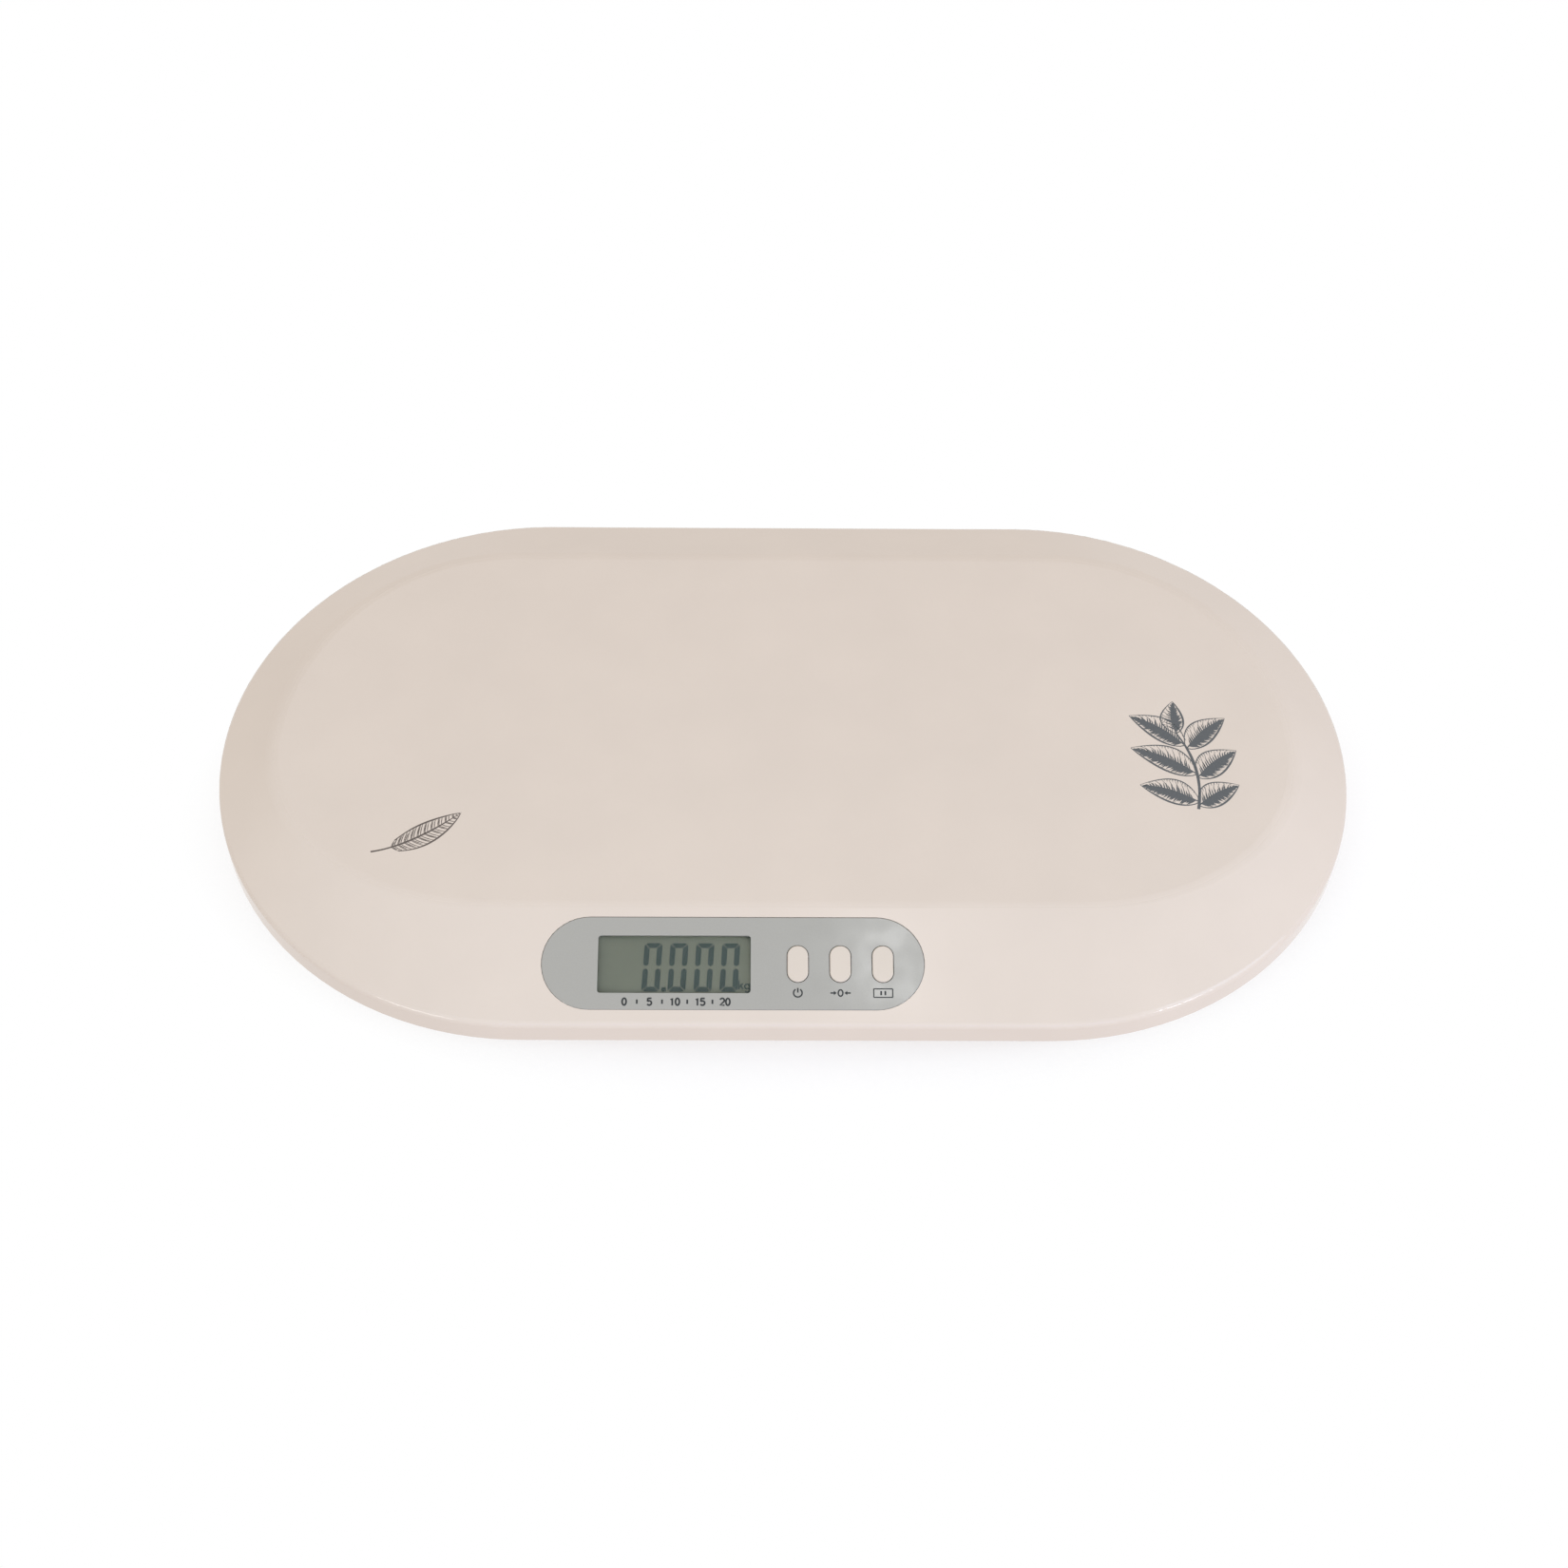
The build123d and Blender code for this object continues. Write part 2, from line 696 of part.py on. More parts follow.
# ---- Load-cell feet -------------------------------------------------------------------
for corner, (sx, sy) in foot_corners.items():
    spot = (sx * foot_x, sy * foot_y)

    with BuildPart() as foot_pad:
        with BuildSketch():
            with Locations(spot):
                Circle(pad_radius)
        extrude(amount=pad_height)
        chamfer(flat_edges_at(foot_pad, 0), length=pad_gap)
    save(foot_pad, f"foot_pad_{corner}")

    with BuildPart() as foot_cup:
        with BuildSketch(Plane.XY.offset(pad_height - pad_seat)):
            with Locations(spot):
                Circle(cup_radius)
        extrude(amount=cup_top - pad_height + pad_seat)
        fillet(flat_edges_at(foot_cup, pad_height - pad_seat), radius=cup_round)
        with BuildSketch(Plane.XY.offset(pad_height - pad_seat)):
            with Locations(spot):
                Circle(pad_radius + pad_gap)
        extrude(amount=pad_seat, mode=Mode.SUBTRACT)
        with BuildSketch(Plane.XY.offset(cup_top)):
            with Locations(spot):
                Circle(foot_stem_radius)
        extrude(amount=cell_z - cup_top)
    save(foot_cup, f"foot_cup_{corner}")

    with BuildPart() as cell_frame:
        with BuildSketch(Plane.XY.offset(floor_z)):
            with Locations(spot):
                RectangleRounded(frame_size, frame_size, frame_corner)
                Circle(frame_hole_radius, mode=Mode.SUBTRACT)
                with GridLocations(2 * locator_offset, 0, 2, 1):
                    Circle(locator_radius + locator_gap, mode=Mode.SUBTRACT)
        extrude(amount=frame_height)
        with BuildSketch(Plane.XY.offset(cell_z)):
            with Locations(spot):
                with GridLocations(0, cell_size + 2 * cell_gap + frame_lip, 1, 2):
                    Rectangle(cell_size - 2 * frame_corner, frame_lip)
        extrude(amount=frame_lip_height)
    save(cell_frame, f"cell_frame_{corner}")

    with BuildPart() as load_cell:
        with BuildSketch(Plane.XY.offset(cell_z)):
            with Locations(spot):
                RectangleRounded(cell_size, cell_size, cell_corner)
                Rectangle(cell_size - 2 * cell_rim, cell_size - 2 * cell_rim, mode=Mode.SUBTRACT)
            with Locations((spot[0], spot[1] - sy * cell_slot)):
                Rectangle(tongue_width, cell_size - 2 * cell_rim)
        extrude(amount=cell_thickness)
    save(load_cell, f"load_cell_{corner}")

with BuildPart() as gauge_coatings:
    with BuildSketch(Plane.XY.offset(gauge_z)):
        with Locations(*foot_spots):
            Rectangle(gauge_length, gauge_width)
    extrude(amount=gauge_height)
    fillet(gauge_coatings.edges().filter_by(Axis.Z), radius=gauge_height / 2)
save(gauge_coatings, "gauge_coatings")

# ---- Batteries, contacts and door -----------------------------------------------------
for i in range(battery_count):
    facing = 1 if i % 2 == 0 else -1
    centre_x = battery_x + facing * (minus_space - plus_space) / 2
    centre_y = battery_y + (i - (battery_count - 1) / 2) * battery_pitch
    axis_plane = Plane(
        origin=(centre_x - facing * battery_length / 2, centre_y, battery_z),
        z_dir=(facing, 0, 0),
    )
    with BuildPart() as battery:
        with BuildSketch(axis_plane):
            Circle(battery_radius)
        extrude(amount=battery_length - nub_length)
        fillet(battery.edges(), radius=battery_radius / 12)
        with BuildSketch(axis_plane.offset(battery_length - nub_length)):
            Circle(nub_radius)
        extrude(amount=nub_length)
    save(battery, f"battery_{i + 1}")

with BuildPart() as battery_contacts:
    for i in range(battery_count):
        facing = 1 if i % 2 == 0 else -1
        wall_x = compartment_length / 2
        centre_y = battery_y + (i - (battery_count - 1) / 2) * battery_pitch
        # Flat plate with a dimple at the nub, and a bent leaf at the other end.
        for end, is_plus in ((facing, True), (-facing, False)):
            inner_x = battery_x + end * (wall_x - contact_thickness / 2)
            with BuildSketch(Plane.XY.offset(battery_z - contact_width / 2)):
                with Locations((inner_x, centre_y)):
                    Rectangle(contact_thickness, contact_width)
            extrude(amount=ceiling_z - battery_z + contact_width / 2)
            face_plane = Plane(
                origin=(battery_x + end * (wall_x - contact_thickness), centre_y, battery_z),
                z_dir=(-end, 0, 0),
            )
            if is_plus:
                with BuildSketch(face_plane):
                    Circle(dimple_radius)
                extrude(amount=plus_space - contact_thickness)
            else:
                side_plane = Plane(origin=face_plane.origin, x_dir=(-end, 0, 0), z_dir=(0, -end, 0))
                with BuildSketch(side_plane):
                    reach = minus_space - contact_thickness
                    with BuildLine():
                        Polyline(
                            (0, contact_width / 2),
                            (reach, leaf_thickness),
                            (reach, -leaf_thickness),
                            (reach - 2 * leaf_thickness, -contact_width / 2),
                            (reach - 3 * leaf_thickness, -contact_width / 2),
                            (reach - leaf_thickness, 0),
                            (0, contact_width / 2 - 2 * leaf_thickness),
                            close=True,
                        )
                    make_face()
                extrude(amount=contact_width / 4, both=True)
save(battery_contacts, "battery_contacts")

with BuildPart() as battery_door:
    with BuildSketch(Plane.YZ.offset(battery_x - door_length / 2)):
        with Locations((hinge_y, base_bottom)):
            Rectangle(door_back - hinge_y, door_thickness, align=(Align.MIN, Align.MIN))
        with Locations((hinge_y, hinge_z)):
            Circle(door_thickness / 2)
    extrude(amount=door_length)
    # Two hooks that reach over the base's floor.
    hook_bottom = door_top + door_clearance
    for hook_x in (battery_x - hook_offset, battery_x + hook_offset):
        with BuildSketch(Plane.YZ.offset(hook_x - hook_width / 2)):
            with Locations((door_front - hook_reach, hook_bottom)):
                Rectangle(
                    hook_reach + hook_riser + door_thickness / 2,
                    hook_thickness,
                    align=(Align.MIN, Align.MIN),
                )
            with Locations((hinge_y, hinge_z)):
                Rectangle(
                    hook_riser,
                    hook_bottom + hook_thickness - hinge_z,
                    align=(Align.MIN, Align.MIN),
                )
        extrude(amount=hook_width)
    # Springy latch: a leaf up from the door, over, and down to the finger tab.
    with BuildSketch(Plane.XY.offset(base_bottom)):
        with Locations((battery_x, door_back - latch_leaf)):
            Rectangle(latch_width + latch_slot, latch_slot, align=(Align.CENTER, Align.MAX))
        for side in (-1, 1):
            with Locations((battery_x + side * (latch_width + latch_slot) / 2, door_back)):
                Rectangle(latch_slot, latch_leaf + latch_slot, align=(Align.CENTER, Align.MAX))
    extrude(amount=door_thickness, mode=Mode.SUBTRACT)
    with BuildSketch(Plane.YZ.offset(battery_x - (latch_width - latch_slot) / 2)):
        with Locations((door_back, base_bottom)):
            Rectangle(latch_leaf, door_thickness + latch_height, align=(Align.MAX, Align.MIN))
        with Locations((door_back, door_top + latch_height)):
            Rectangle(2 * latch_leaf + latch_slot, latch_leaf, align=(Align.MAX, Align.MAX))
        with Locations((door_back - latch_leaf - latch_slot, door_top - latch_leaf)):
            Rectangle(latch_leaf, latch_height + latch_leaf, align=(Align.MAX, Align.MIN))
    extrude(amount=latch_width - latch_slot)
save(battery_door, "battery_door")

# ---- Leads from the load cells and the batteries to the board -------------------------
def board_entry(slot):
    """The last straight run of a lead, up under the front slope into one of the board's connectors."""
    x = board_x + slot * connector_pitch
    depth = board_back + lead_depth
    return [
        slope.from_local_coords(Vector(x, connector_back + run, -depth)) for run in (lead_entry, 0)
    ]


def lead(name, start, direction, shares, slot):
    """A round lead from start, straight at first, then past points on its way to a connector.

    Each point is given as its shares of the way between the first and last straight runs,
    along X, Y and Z.
    """
    leave = start + direction * lead_straight
    entry = board_entry(slot)
    way = entry[0] - leave
    via = [leave + Vector(x * way.X, y * way.Y, z * way.Z) for x, y, z in shares]
    corners = [start, leave, *via, *entry]
    runs = [b - a for a, b in zip(corners, corners[1:])]
    radii = [
        lead_bend_share * min(before.length, after.length) / tan(radians(before.get_angle(after)) / 2)
        for before, after in zip(runs, runs[1:])
    ]
    with BuildPart() as tube:
        with BuildLine() as route:
            FilletPolyline(*corners, radius=radii)
        with BuildSketch(Plane(origin=start, z_dir=direction)):
            Circle(lead_radius)
        sweep(path=route.line)
    save(tube, name)


lead_z = gauge_z + gauge_height / 2 + gauge_lead_lift
lead_routes = {
    "front_left": (-2, [(0.35, -0.28, 0.04), (0.74, 0.11, 0.18), (0.96, 0.55, 0.5)]),
    "front_right": (
        2,
        [(0.22, -0.28, 0.04), (0.52, 0.06, 0.09), (0.83, 0.33, 0.27), (0.98, 0.55, 0.59)],
    ),
    "back_left": (
        -1,
        [(0.3, 0.03, 0.04), (0.66, 0.1, 0.0), (0.92, 0.31, 0.0), (0.96, 0.61, 0.04), (0.99, 0.86, 0.36)],
    ),
    "back_right": (
        1,
        [(0.21, 0.03, 0.04), (0.47, 0.09, 0.0), (0.67, 0.3, 0.0), (0.74, 0.6, 0.04), (0.94, 0.85, 0.36)],
    ),
}
for corner, (slot, shares) in lead_routes.items():
    sx, sy = foot_corners[corner]
    start = Vector(sx * (foot_x - gauge_length / 2), sy * foot_y, lead_z)
    lead(f"cell_lead_{corner}", start, Vector(-sx, 0, 0), shares, slot)

box_front = battery_y - compartment_width / 2 - compartment_wall
battery_exit = Vector(battery_x, box_front, compartment_top - 2 * lead_radius)
lead("battery_lead", battery_exit, Vector(0, -1, 0), [(0.4, 0.41, 0.16), (0.9, 0.79, 0.48)], 0)
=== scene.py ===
import math
import random

import bmesh
import bpy
from mathutils import Matrix, Vector


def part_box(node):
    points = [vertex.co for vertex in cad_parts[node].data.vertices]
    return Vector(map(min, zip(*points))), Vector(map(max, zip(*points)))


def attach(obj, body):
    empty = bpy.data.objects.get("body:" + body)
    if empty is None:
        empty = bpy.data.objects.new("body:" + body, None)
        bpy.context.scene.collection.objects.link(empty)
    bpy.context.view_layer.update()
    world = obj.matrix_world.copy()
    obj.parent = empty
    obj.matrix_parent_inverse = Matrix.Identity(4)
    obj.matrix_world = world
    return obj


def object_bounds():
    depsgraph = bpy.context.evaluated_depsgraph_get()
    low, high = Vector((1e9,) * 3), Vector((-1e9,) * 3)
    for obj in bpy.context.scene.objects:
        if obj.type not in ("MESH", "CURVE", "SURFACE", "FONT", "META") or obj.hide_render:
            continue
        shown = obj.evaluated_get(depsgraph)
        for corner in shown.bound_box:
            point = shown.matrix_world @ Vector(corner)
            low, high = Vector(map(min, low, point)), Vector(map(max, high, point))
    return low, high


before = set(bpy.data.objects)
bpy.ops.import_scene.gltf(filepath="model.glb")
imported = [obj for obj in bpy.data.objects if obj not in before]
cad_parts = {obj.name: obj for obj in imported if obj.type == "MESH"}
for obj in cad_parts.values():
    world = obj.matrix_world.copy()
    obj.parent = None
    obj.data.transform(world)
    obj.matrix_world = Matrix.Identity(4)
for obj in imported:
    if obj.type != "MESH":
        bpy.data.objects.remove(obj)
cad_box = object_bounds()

# Looks of the baby weighing scale: materials of the CAD nodes, printed and moulded detail, lamps and floor.
MM = 0.001
WHITE, BLACK = (1, 1, 1, 1), (0, 0, 0, 1)
scene = bpy.context.scene
scene.view_settings.view_transform = "Standard"


def srgb(*levels):
    """An 8-bit display colour as linear RGBA."""
    return (*[((v / 255 + 0.055) / 1.055) ** 2.4 for v in levels], 1.0)


def box_mm(name):
    """A CAD node's lowest and highest corners in millimetres."""
    return [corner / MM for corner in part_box(name)]


# ---- Camera: fitted to the object's outline --------------------------------------------
CAMERA_ELEVATION, CAMERA_YAW, CAMERA_ROLL = (math.radians(v) for v in (52.588, -1.123, 1.1))
CAMERA_DISTANCE = 1.1855
CAMERA_AIM = Vector((-0.0002, -0.01653, 0.0342))
CAMERA_LENS, CAMERA_SENSOR = 56.02, 36.0


def add_camera():
    level = math.cos(CAMERA_ELEVATION)
    back = Vector((math.sin(CAMERA_YAW) * level, -math.cos(CAMERA_YAW) * level, math.sin(CAMERA_ELEVATION)))
    right = Vector((math.cos(CAMERA_YAW), math.sin(CAMERA_YAW), 0))
    axes = Matrix((right, back.cross(right), back)).transposed().to_4x4()
    data = bpy.data.cameras.new("camera")
    data.lens, data.sensor_width = CAMERA_LENS, CAMERA_SENSOR
    camera = bpy.data.objects.new("camera", data)
    scene.collection.objects.link(camera)
    camera.matrix_world = (
        Matrix.Translation(CAMERA_AIM + back * CAMERA_DISTANCE) @ axes @ Matrix.Rotation(CAMERA_ROLL, 4, "Z")
    )
    scene.camera = camera


add_camera()


# ---- Light -----------------------------------------------------------------------------
CENTRE = (0, 0, 0)
PANEL_SPOT = (0.116, -0.098)  # the panel's right end mirrors a lamp above this spot
SKY_LEVEL, SKY = 0.777, (1.104, 1.0, 0.934, 1)


def add_lamp(name, place, aim, size, radiance, colour=(1, 1, 1), rays="diffuse glossy"):
    """A rectangular soft lamp; radiance 1 looks white in a mirror. It lights the kinds of rays that are named."""
    data = bpy.data.lights.new(name, "AREA")
    data.shape = "RECTANGLE"
    data.size, data.size_y = size
    data.energy = radiance * math.pi * size[0] * size[1]
    data.color = colour
    lamp = bpy.data.objects.new(name, data)
    scene.collection.objects.link(lamp)
    lamp.location = place
    lamp.rotation_euler = (Vector(place) - Vector(aim)).to_track_quat("Z", "Y").to_euler()
    lamp.visible_camera = False
    lamp.visible_diffuse, lamp.visible_glossy = "diffuse" in rays, "glossy" in rays


# The key and the glint draw the lines of light on the rim, and the three wide lamps colour the walls and slopes.
add_lamp("right_key", (1.35, -1.35, 0.62), CENTRE, (0.42, 0.24), 14.5, (1, 1, 1.12))
add_lamp("right_fill", (1.5, -0.7, 1.1), CENTRE, (1.0, 1.0), 1.5, (0.72, 1, 1.4))
add_lamp("left_glint", (-1.16, -1.52, 0.62), CENTRE, (0.62, 0.1), 25.0, (1, 0.97, 0.95), "glossy")
add_lamp("front_high", (-0.2, -1.15, 1.4), CENTRE, (1.4, 1.0), 1.85, (0.76, 1.0, 1.06), "diffuse")
add_lamp("front_low", (0.2, -1.7, 0.7), CENTRE, (1.4, 0.6), 0.5, (0.7, 0.8, 2.2))
add_lamp("panel_lamp", (*PANEL_SPOT, 1.30), (*PANEL_SPOT, 0), (0.075, 0.09), 2.8)


def any_ray(tree, kinds, total=None):
    """1 for rays of these kinds, and wherever total is 1 already."""
    path = tree.nodes.new("ShaderNodeLightPath")
    for kind in kinds:
        if total is None:
            total = path.outputs[kind]
            continue
        either = tree.nodes.new("ShaderNodeMath")
        either.operation = "MAXIMUM"
        tree.links.new(total, either.inputs[0])
        tree.links.new(path.outputs[kind], either.inputs[1])
        total = either.outputs[0]
    return total


def seen_directly(tree):
    """1 for camera, mirror and glass rays, which see a plain white background."""
    return any_ray(tree, ("Is Camera Ray", "Is Glossy Ray", "Is Transmission Ray"))


def set_world():
    world = bpy.data.worlds.new("studio")
    scene.world = world
    world.use_nodes = True
    tree = world.node_tree
    light = tree.nodes["Background"]
    light.inputs["Strength"].default_value = SKY_LEVEL
    light.inputs["Color"].default_value = SKY
    shown = tree.nodes.new("ShaderNodeBackground")
    shown.inputs["Color"].default_value = WHITE
    mix = tree.nodes.new("ShaderNodeMixShader")
    tree.links.new(seen_directly(tree), mix.inputs["Fac"])
    tree.links.new(light.outputs[0], mix.inputs[1])
    tree.links.new(shown.outputs[0], mix.inputs[2])
    tree.links.new(mix.outputs[0], tree.nodes["World Output"].inputs["Surface"])


set_world()


# ---- Materials: sizes in millimetres ---------------------------------------------------
class Look:
    """A Principled material with short ways to drive it from patterns in the object's own space.

    A socket is named with _ for a space, or with _ and its number.
    """

    def __init__(self, name, **plain):
        self.material = bpy.data.materials.new(name)
        self.material.use_nodes = True
        self.tree = self.material.node_tree
        self.shader = self.tree.nodes["Principled BSDF"]
        self.place = self.add("TexCoord").outputs["Object"]
        self.set(**plain)

    def set(self, **sockets):
        self.fill(self.shader, sockets)
        return self

    def fill(self, node, sockets):
        for name, value in sockets.items():
            socket = node.inputs[int(name[1:])] if name[1:].isdigit() else node.inputs[name.replace("_", " ")]
            if isinstance(value, bpy.types.NodeSocket):
                self.tree.links.new(value, socket)
            else:
                socket.default_value = value

    def add(self, kind, settings=(), **sockets):
        node = self.tree.nodes.new("ShaderNode" + kind)
        for name, value in dict(settings).items():
            setattr(node, name, value)
        self.fill(node, sockets)
        return node

    def show(self, shader):
        """The surface shows this shader, which may contain the plain one."""
        self.tree.links.new(shader, self.tree.nodes["Material Output"].inputs["Surface"])
        return self

    def math(self, operation, a, b=0.0):
        return self.add("Math", {"operation": operation}, _0=a, _1=b).outputs[0]

    def axis(self, index):
        """The place along X, Y or Z."""
        return self.math("MULTIPLY", self.add("SeparateXYZ", Vector=self.place).outputs[index], 1 / MM)

    def noise(self, size, detail=2.0, stretch=None):
        """Noise whose blobs are about size across."""
        place = self.add("Mapping", Vector=self.place, Scale=stretch).outputs[0] if stretch else self.place
        return self.add("TexNoise", Vector=place, Scale=1 / (size * MM), Detail=detail).outputs["Fac"]

    def between(self, fac, low, high, start=0.3, end=0.7):
        """A value that goes from low to high as fac goes from start to end."""
        return self.add("MapRange", _0=fac, _1=start, _2=end, _3=low, _4=high).outputs[0]

    def patches(self, low, high):
        """Wide patches that vary between two values."""
        return self.between(self.noise(21, 5.0), low, high)

    def ramp(self, fac, stops, steps=False):
        """A colour for each place in 0 to 1."""
        node = self.add("ValToRGB", Fac=fac)
        ramp = node.color_ramp
        ramp.interpolation = "CONSTANT" if steps else "LINEAR"
        while len(ramp.elements) < len(stops):
            ramp.elements.new(1.0)
        for element, (place, colour) in zip(ramp.elements, stops):
            element.position, element.color = place, colour
        return node.outputs["Color"]

    def mix(self, fac, a, b):
        return self.add("Mix", {"data_type": "RGBA"}, _0=fac, _6=a, _7=b).outputs[2]

    def bump(self, height, depth):
        """A relief on top of any relief that the material has already."""
        sockets = {"Height": height, "Distance": depth * MM, "Strength": 1.0}
        links = self.shader.inputs["Normal"].links
        if links:
            sockets["Normal"] = links[0].from_socket
        return self.set(Normal=self.add("Bump", **sockets).outputs[0])


def shade(colour, factor):
    return (*[min(1.0, c * factor) for c in colour[:3]], 1.0)


PLASTIC_CLOUD = 0.015  # how far the colour of moulded plastic drifts


def plastic(name, colour, roughness, grain=0.5, grain_depth=0.012, wear=0.06):
    """Moulded plastic: fine spark-eroded grain, faint colour clouds and slightly uneven gloss."""
    look = Look(name, IOR=1.49)
    clouds = look.noise(38, 3.0)
    specks = look.between(look.noise(1.7, 4.0), 0.0, 0.35, 0.55, 0.8)
    stops = [(0.3, shade(colour, 1 - PLASTIC_CLOUD)), (0.7, shade(colour, 1 + PLASTIC_CLOUD))]
    look.set(Base_Color=look.mix(specks, look.ramp(clouds, stops), shade(colour, 1 - 2 * PLASTIC_CLOUD)))
    look.set(Roughness=look.patches(roughness - wear / 2, roughness + wear / 2))
    return look.bump(look.noise(grain, 3.0), grain_depth)


def ink(name, colour):
    """Screen-printed ink: slightly uneven cover and a soft sheen."""
    look = Look(name, IOR=1.45)
    cover = look.noise(0.9, 4.0)
    look.set(Base_Color=look.ramp(cover, [(0.32, shade(colour, 1.12)), (0.62, colour)]))
    look.set(Roughness=look.between(look.noise(4), 0.42, 0.55))
    return look.bump(cover, 0.004)


def metal(name, colour, roughness, brush=(1, 1, 1)):
    """Plated or ground metal with fine draw lines along one direction."""
    look = Look(name, Metallic=1.0)
    lines = look.noise(1.2, 4.0, brush)
    look.set(Base_Color=look.ramp(lines, [(0.3, shade(colour, 0.86)), (0.7, shade(colour, 1.06))]))
    look.set(Roughness=look.between(look.noise(5, 3.0), roughness - 0.06, roughness + 0.08))
    return look.bump(lines, 0.01)


def rubber(name, colour, roughness=0.75):
    """Rubber or silicone with a little dust."""
    look = Look(name, IOR=1.5)
    dust = look.noise(7, 5.0)
    look.set(Base_Color=look.ramp(dust, [(0.35, colour), (0.72, shade(colour, 1.35))]))
    look.set(Roughness=look.between(look.noise(2.5), roughness - 0.08, roughness + 0.08))
    return look.bump(look.noise(0.35, 3.0), 0.02)


PLATFORM = srgb(213, 203, 193)
KEY = srgb(207, 198, 187)
DECK_HEIGHT = cad_box[1].z / MM
TEXTURE_START, TEXTURE_FULL = 0.4, 0.1  # below the deck's height


def platform_look():
    """Glossy rim and slopes; the flat deck is textured, so it is more matt."""
    look = plastic("platform_white", PLATFORM, 0.14, grain_depth=0.004, wear=0.02)
    gloss = look.shader.inputs["Roughness"].links[0].from_socket
    satin = look.patches(0.52, 0.58)
    deck = look.between(look.axis(2), 0.0, 1.0, DECK_HEIGHT - TEXTURE_START, DECK_HEIGHT - TEXTURE_FULL)
    return look.set(Roughness=look.add("Mix", _0=deck, _2=gloss, _3=satin).outputs[0])


def panel_look():
    """Glossy printed panel whose moulded skin is very slightly wavy and wiped."""
    look = Look("panel_grey", IOR=1.5, Specular_IOR_Level=0.8)
    grey = srgb(159, 159, 154)
    fine = look.noise(0.6, 3.0)
    look.set(Base_Color=look.ramp(fine, [(0.35, shade(grey, 0.985)), (0.65, shade(grey, 1.015))]))
    look.set(Roughness=look.between(look.noise(13, 1.5), 0.07, 0.16, 0.35, 0.65))
    look.bump(look.noise(24, 2.0), 0.05)
    return look.bump(fine, 0.002)


def lens_look():
    """Clear window that lets lamps through."""
    look = Look("clear_lens", IOR=1.2, Roughness=0.0, Transmission_Weight=1.0)
    wipes = look.noise(9, 3.0, (1, 2, 2))
    look.set(Base_Color=look.ramp(wipes, [(0.3, (0.97, 0.98, 0.97, 1)), (0.7, WHITE)]))
    clear = look.add("BsdfTransparent", Color=(0.95, 0.96, 0.95, 1)).outputs[0]
    shadow = any_ray(look.tree, ("Is Shadow Ray",))
    return look.show(look.add("MixShader", _0=shadow, _1=look.shader.outputs[0], _2=clear).outputs[0])


def lcd_look():
    """Reflective display: greenish grey with a fine scattering layer, and painted shade of the window's frame along
    its edges.
    """
    look = Look("lcd_glass", IOR=1.5, Specular_IOR_Level=0.2)
    # The second colour is painted shade for the window's edges; the scattering layer's specks use a darker version
    # of it as their own colour.
    green, painted_shade_and_speck = srgb(98, 98, 85), srgb(91, 91, 79)
    scatter = look.noise(0.25, 2.0)
    tone = look.ramp(look.noise(30), [(0.3, shade(green, 0.97)), (0.7, shade(green, 1.03))])
    low, high = box_mm("display_lens")
    # Painted shade of the window's frame: the display darkens towards the window's left, right and upper edges, and
    # fades to its own colour between two distances from each edge.
    shaded_edges = [
        (look.axis(0), low.x + 1.8, low.x + 6.2),
        (look.axis(0), high.x - 0.8, high.x - 2.8),
        (look.axis(1), high.y - 1.8, high.y - 4.6),
    ]
    unshaded_share = 1.0
    for place, start, end in shaded_edges:
        unshaded_share = look.math("MULTIPLY", unshaded_share, look.between(place, 0.0, 1.0, start, end))
    # Mix in the painted shade towards the window's edges.
    tone = look.mix(unshaded_share, painted_shade_and_speck, tone)
    look.set(Base_Color=look.mix(look.between(scatter, 0.0, 0.25), tone, shade(painted_shade_and_speck, 0.9)))
    return look.set(Roughness=look.between(scatter, 0.3, 0.42))


def board_look():
    """Green solder mask over copper tracks, with tinned pads."""
    look = Look("board_green", IOR=1.5)
    mask, copper, tinned = srgb(24, 92, 54), srgb(46, 128, 78), srgb(196, 190, 176)
    track_pitch, track_width, pad_size = 1.1, 0.28, 0.12
    settings = {"distance": "CHEBYCHEV", "feature": "F1"}
    cell = look.add("TexVoronoi", settings, Vector=look.place, Scale=1 / (5 * MM)).outputs["Distance"]
    track = look.math("PINGPONG", look.math("ADD", look.axis(0), look.between(cell, 0, 6)), track_pitch)
    line = look.math("LESS_THAN", track, track_width)
    pads = look.math("LESS_THAN", cell, pad_size)
    look.set(Base_Color=look.mix(pads, look.mix(line, mask, copper), tinned))
    look.set(Roughness=look.between(look.noise(3), 0.28, 0.4), Metallic=look.math("MULTIPLY", pads, 0.9))
    return look.bump(look.math("MAXIMUM", line, pads), 0.03)


SLEEVE_START, EDGE_START, BAND_START, CAP_START = 0.018, 0.68, 0.695, 0.945  # shares of the cell's length


def battery_look(name):
    """Shrink-sleeved cell: steel ends, a dark sleeve and a copper-coloured band at the plus end."""
    look = Look(name + "_sleeve", IOR=1.5)
    minus, plus = (corner.x for corner in box_mm(name))
    if name == "battery_2":  # the middle cell is turned round
        minus, plus = plus, minus
    share = look.between(look.axis(0), 0.0, 1.0, minus, plus)
    steel, sleeve, band, edge = srgb(190, 190, 188), srgb(34, 38, 44), srgb(188, 112, 60), srgb(226, 224, 218)
    stops = [(0.0, steel), (SLEEVE_START, sleeve), (EDGE_START, edge), (BAND_START, band), (CAP_START, steel)]
    look.set(Base_Color=look.ramp(share, stops, steps=True))
    look.set(Metallic=look.ramp(share, [(0.0, WHITE), (SLEEVE_START, BLACK), (CAP_START, WHITE)], steps=True))
    look.set(Roughness=look.between(look.noise(6, 4.0, (0.3, 1, 1)), 0.24, 0.36))
    return look.bump(look.noise(9, 2.0, (0.2, 1, 1)), 0.03)


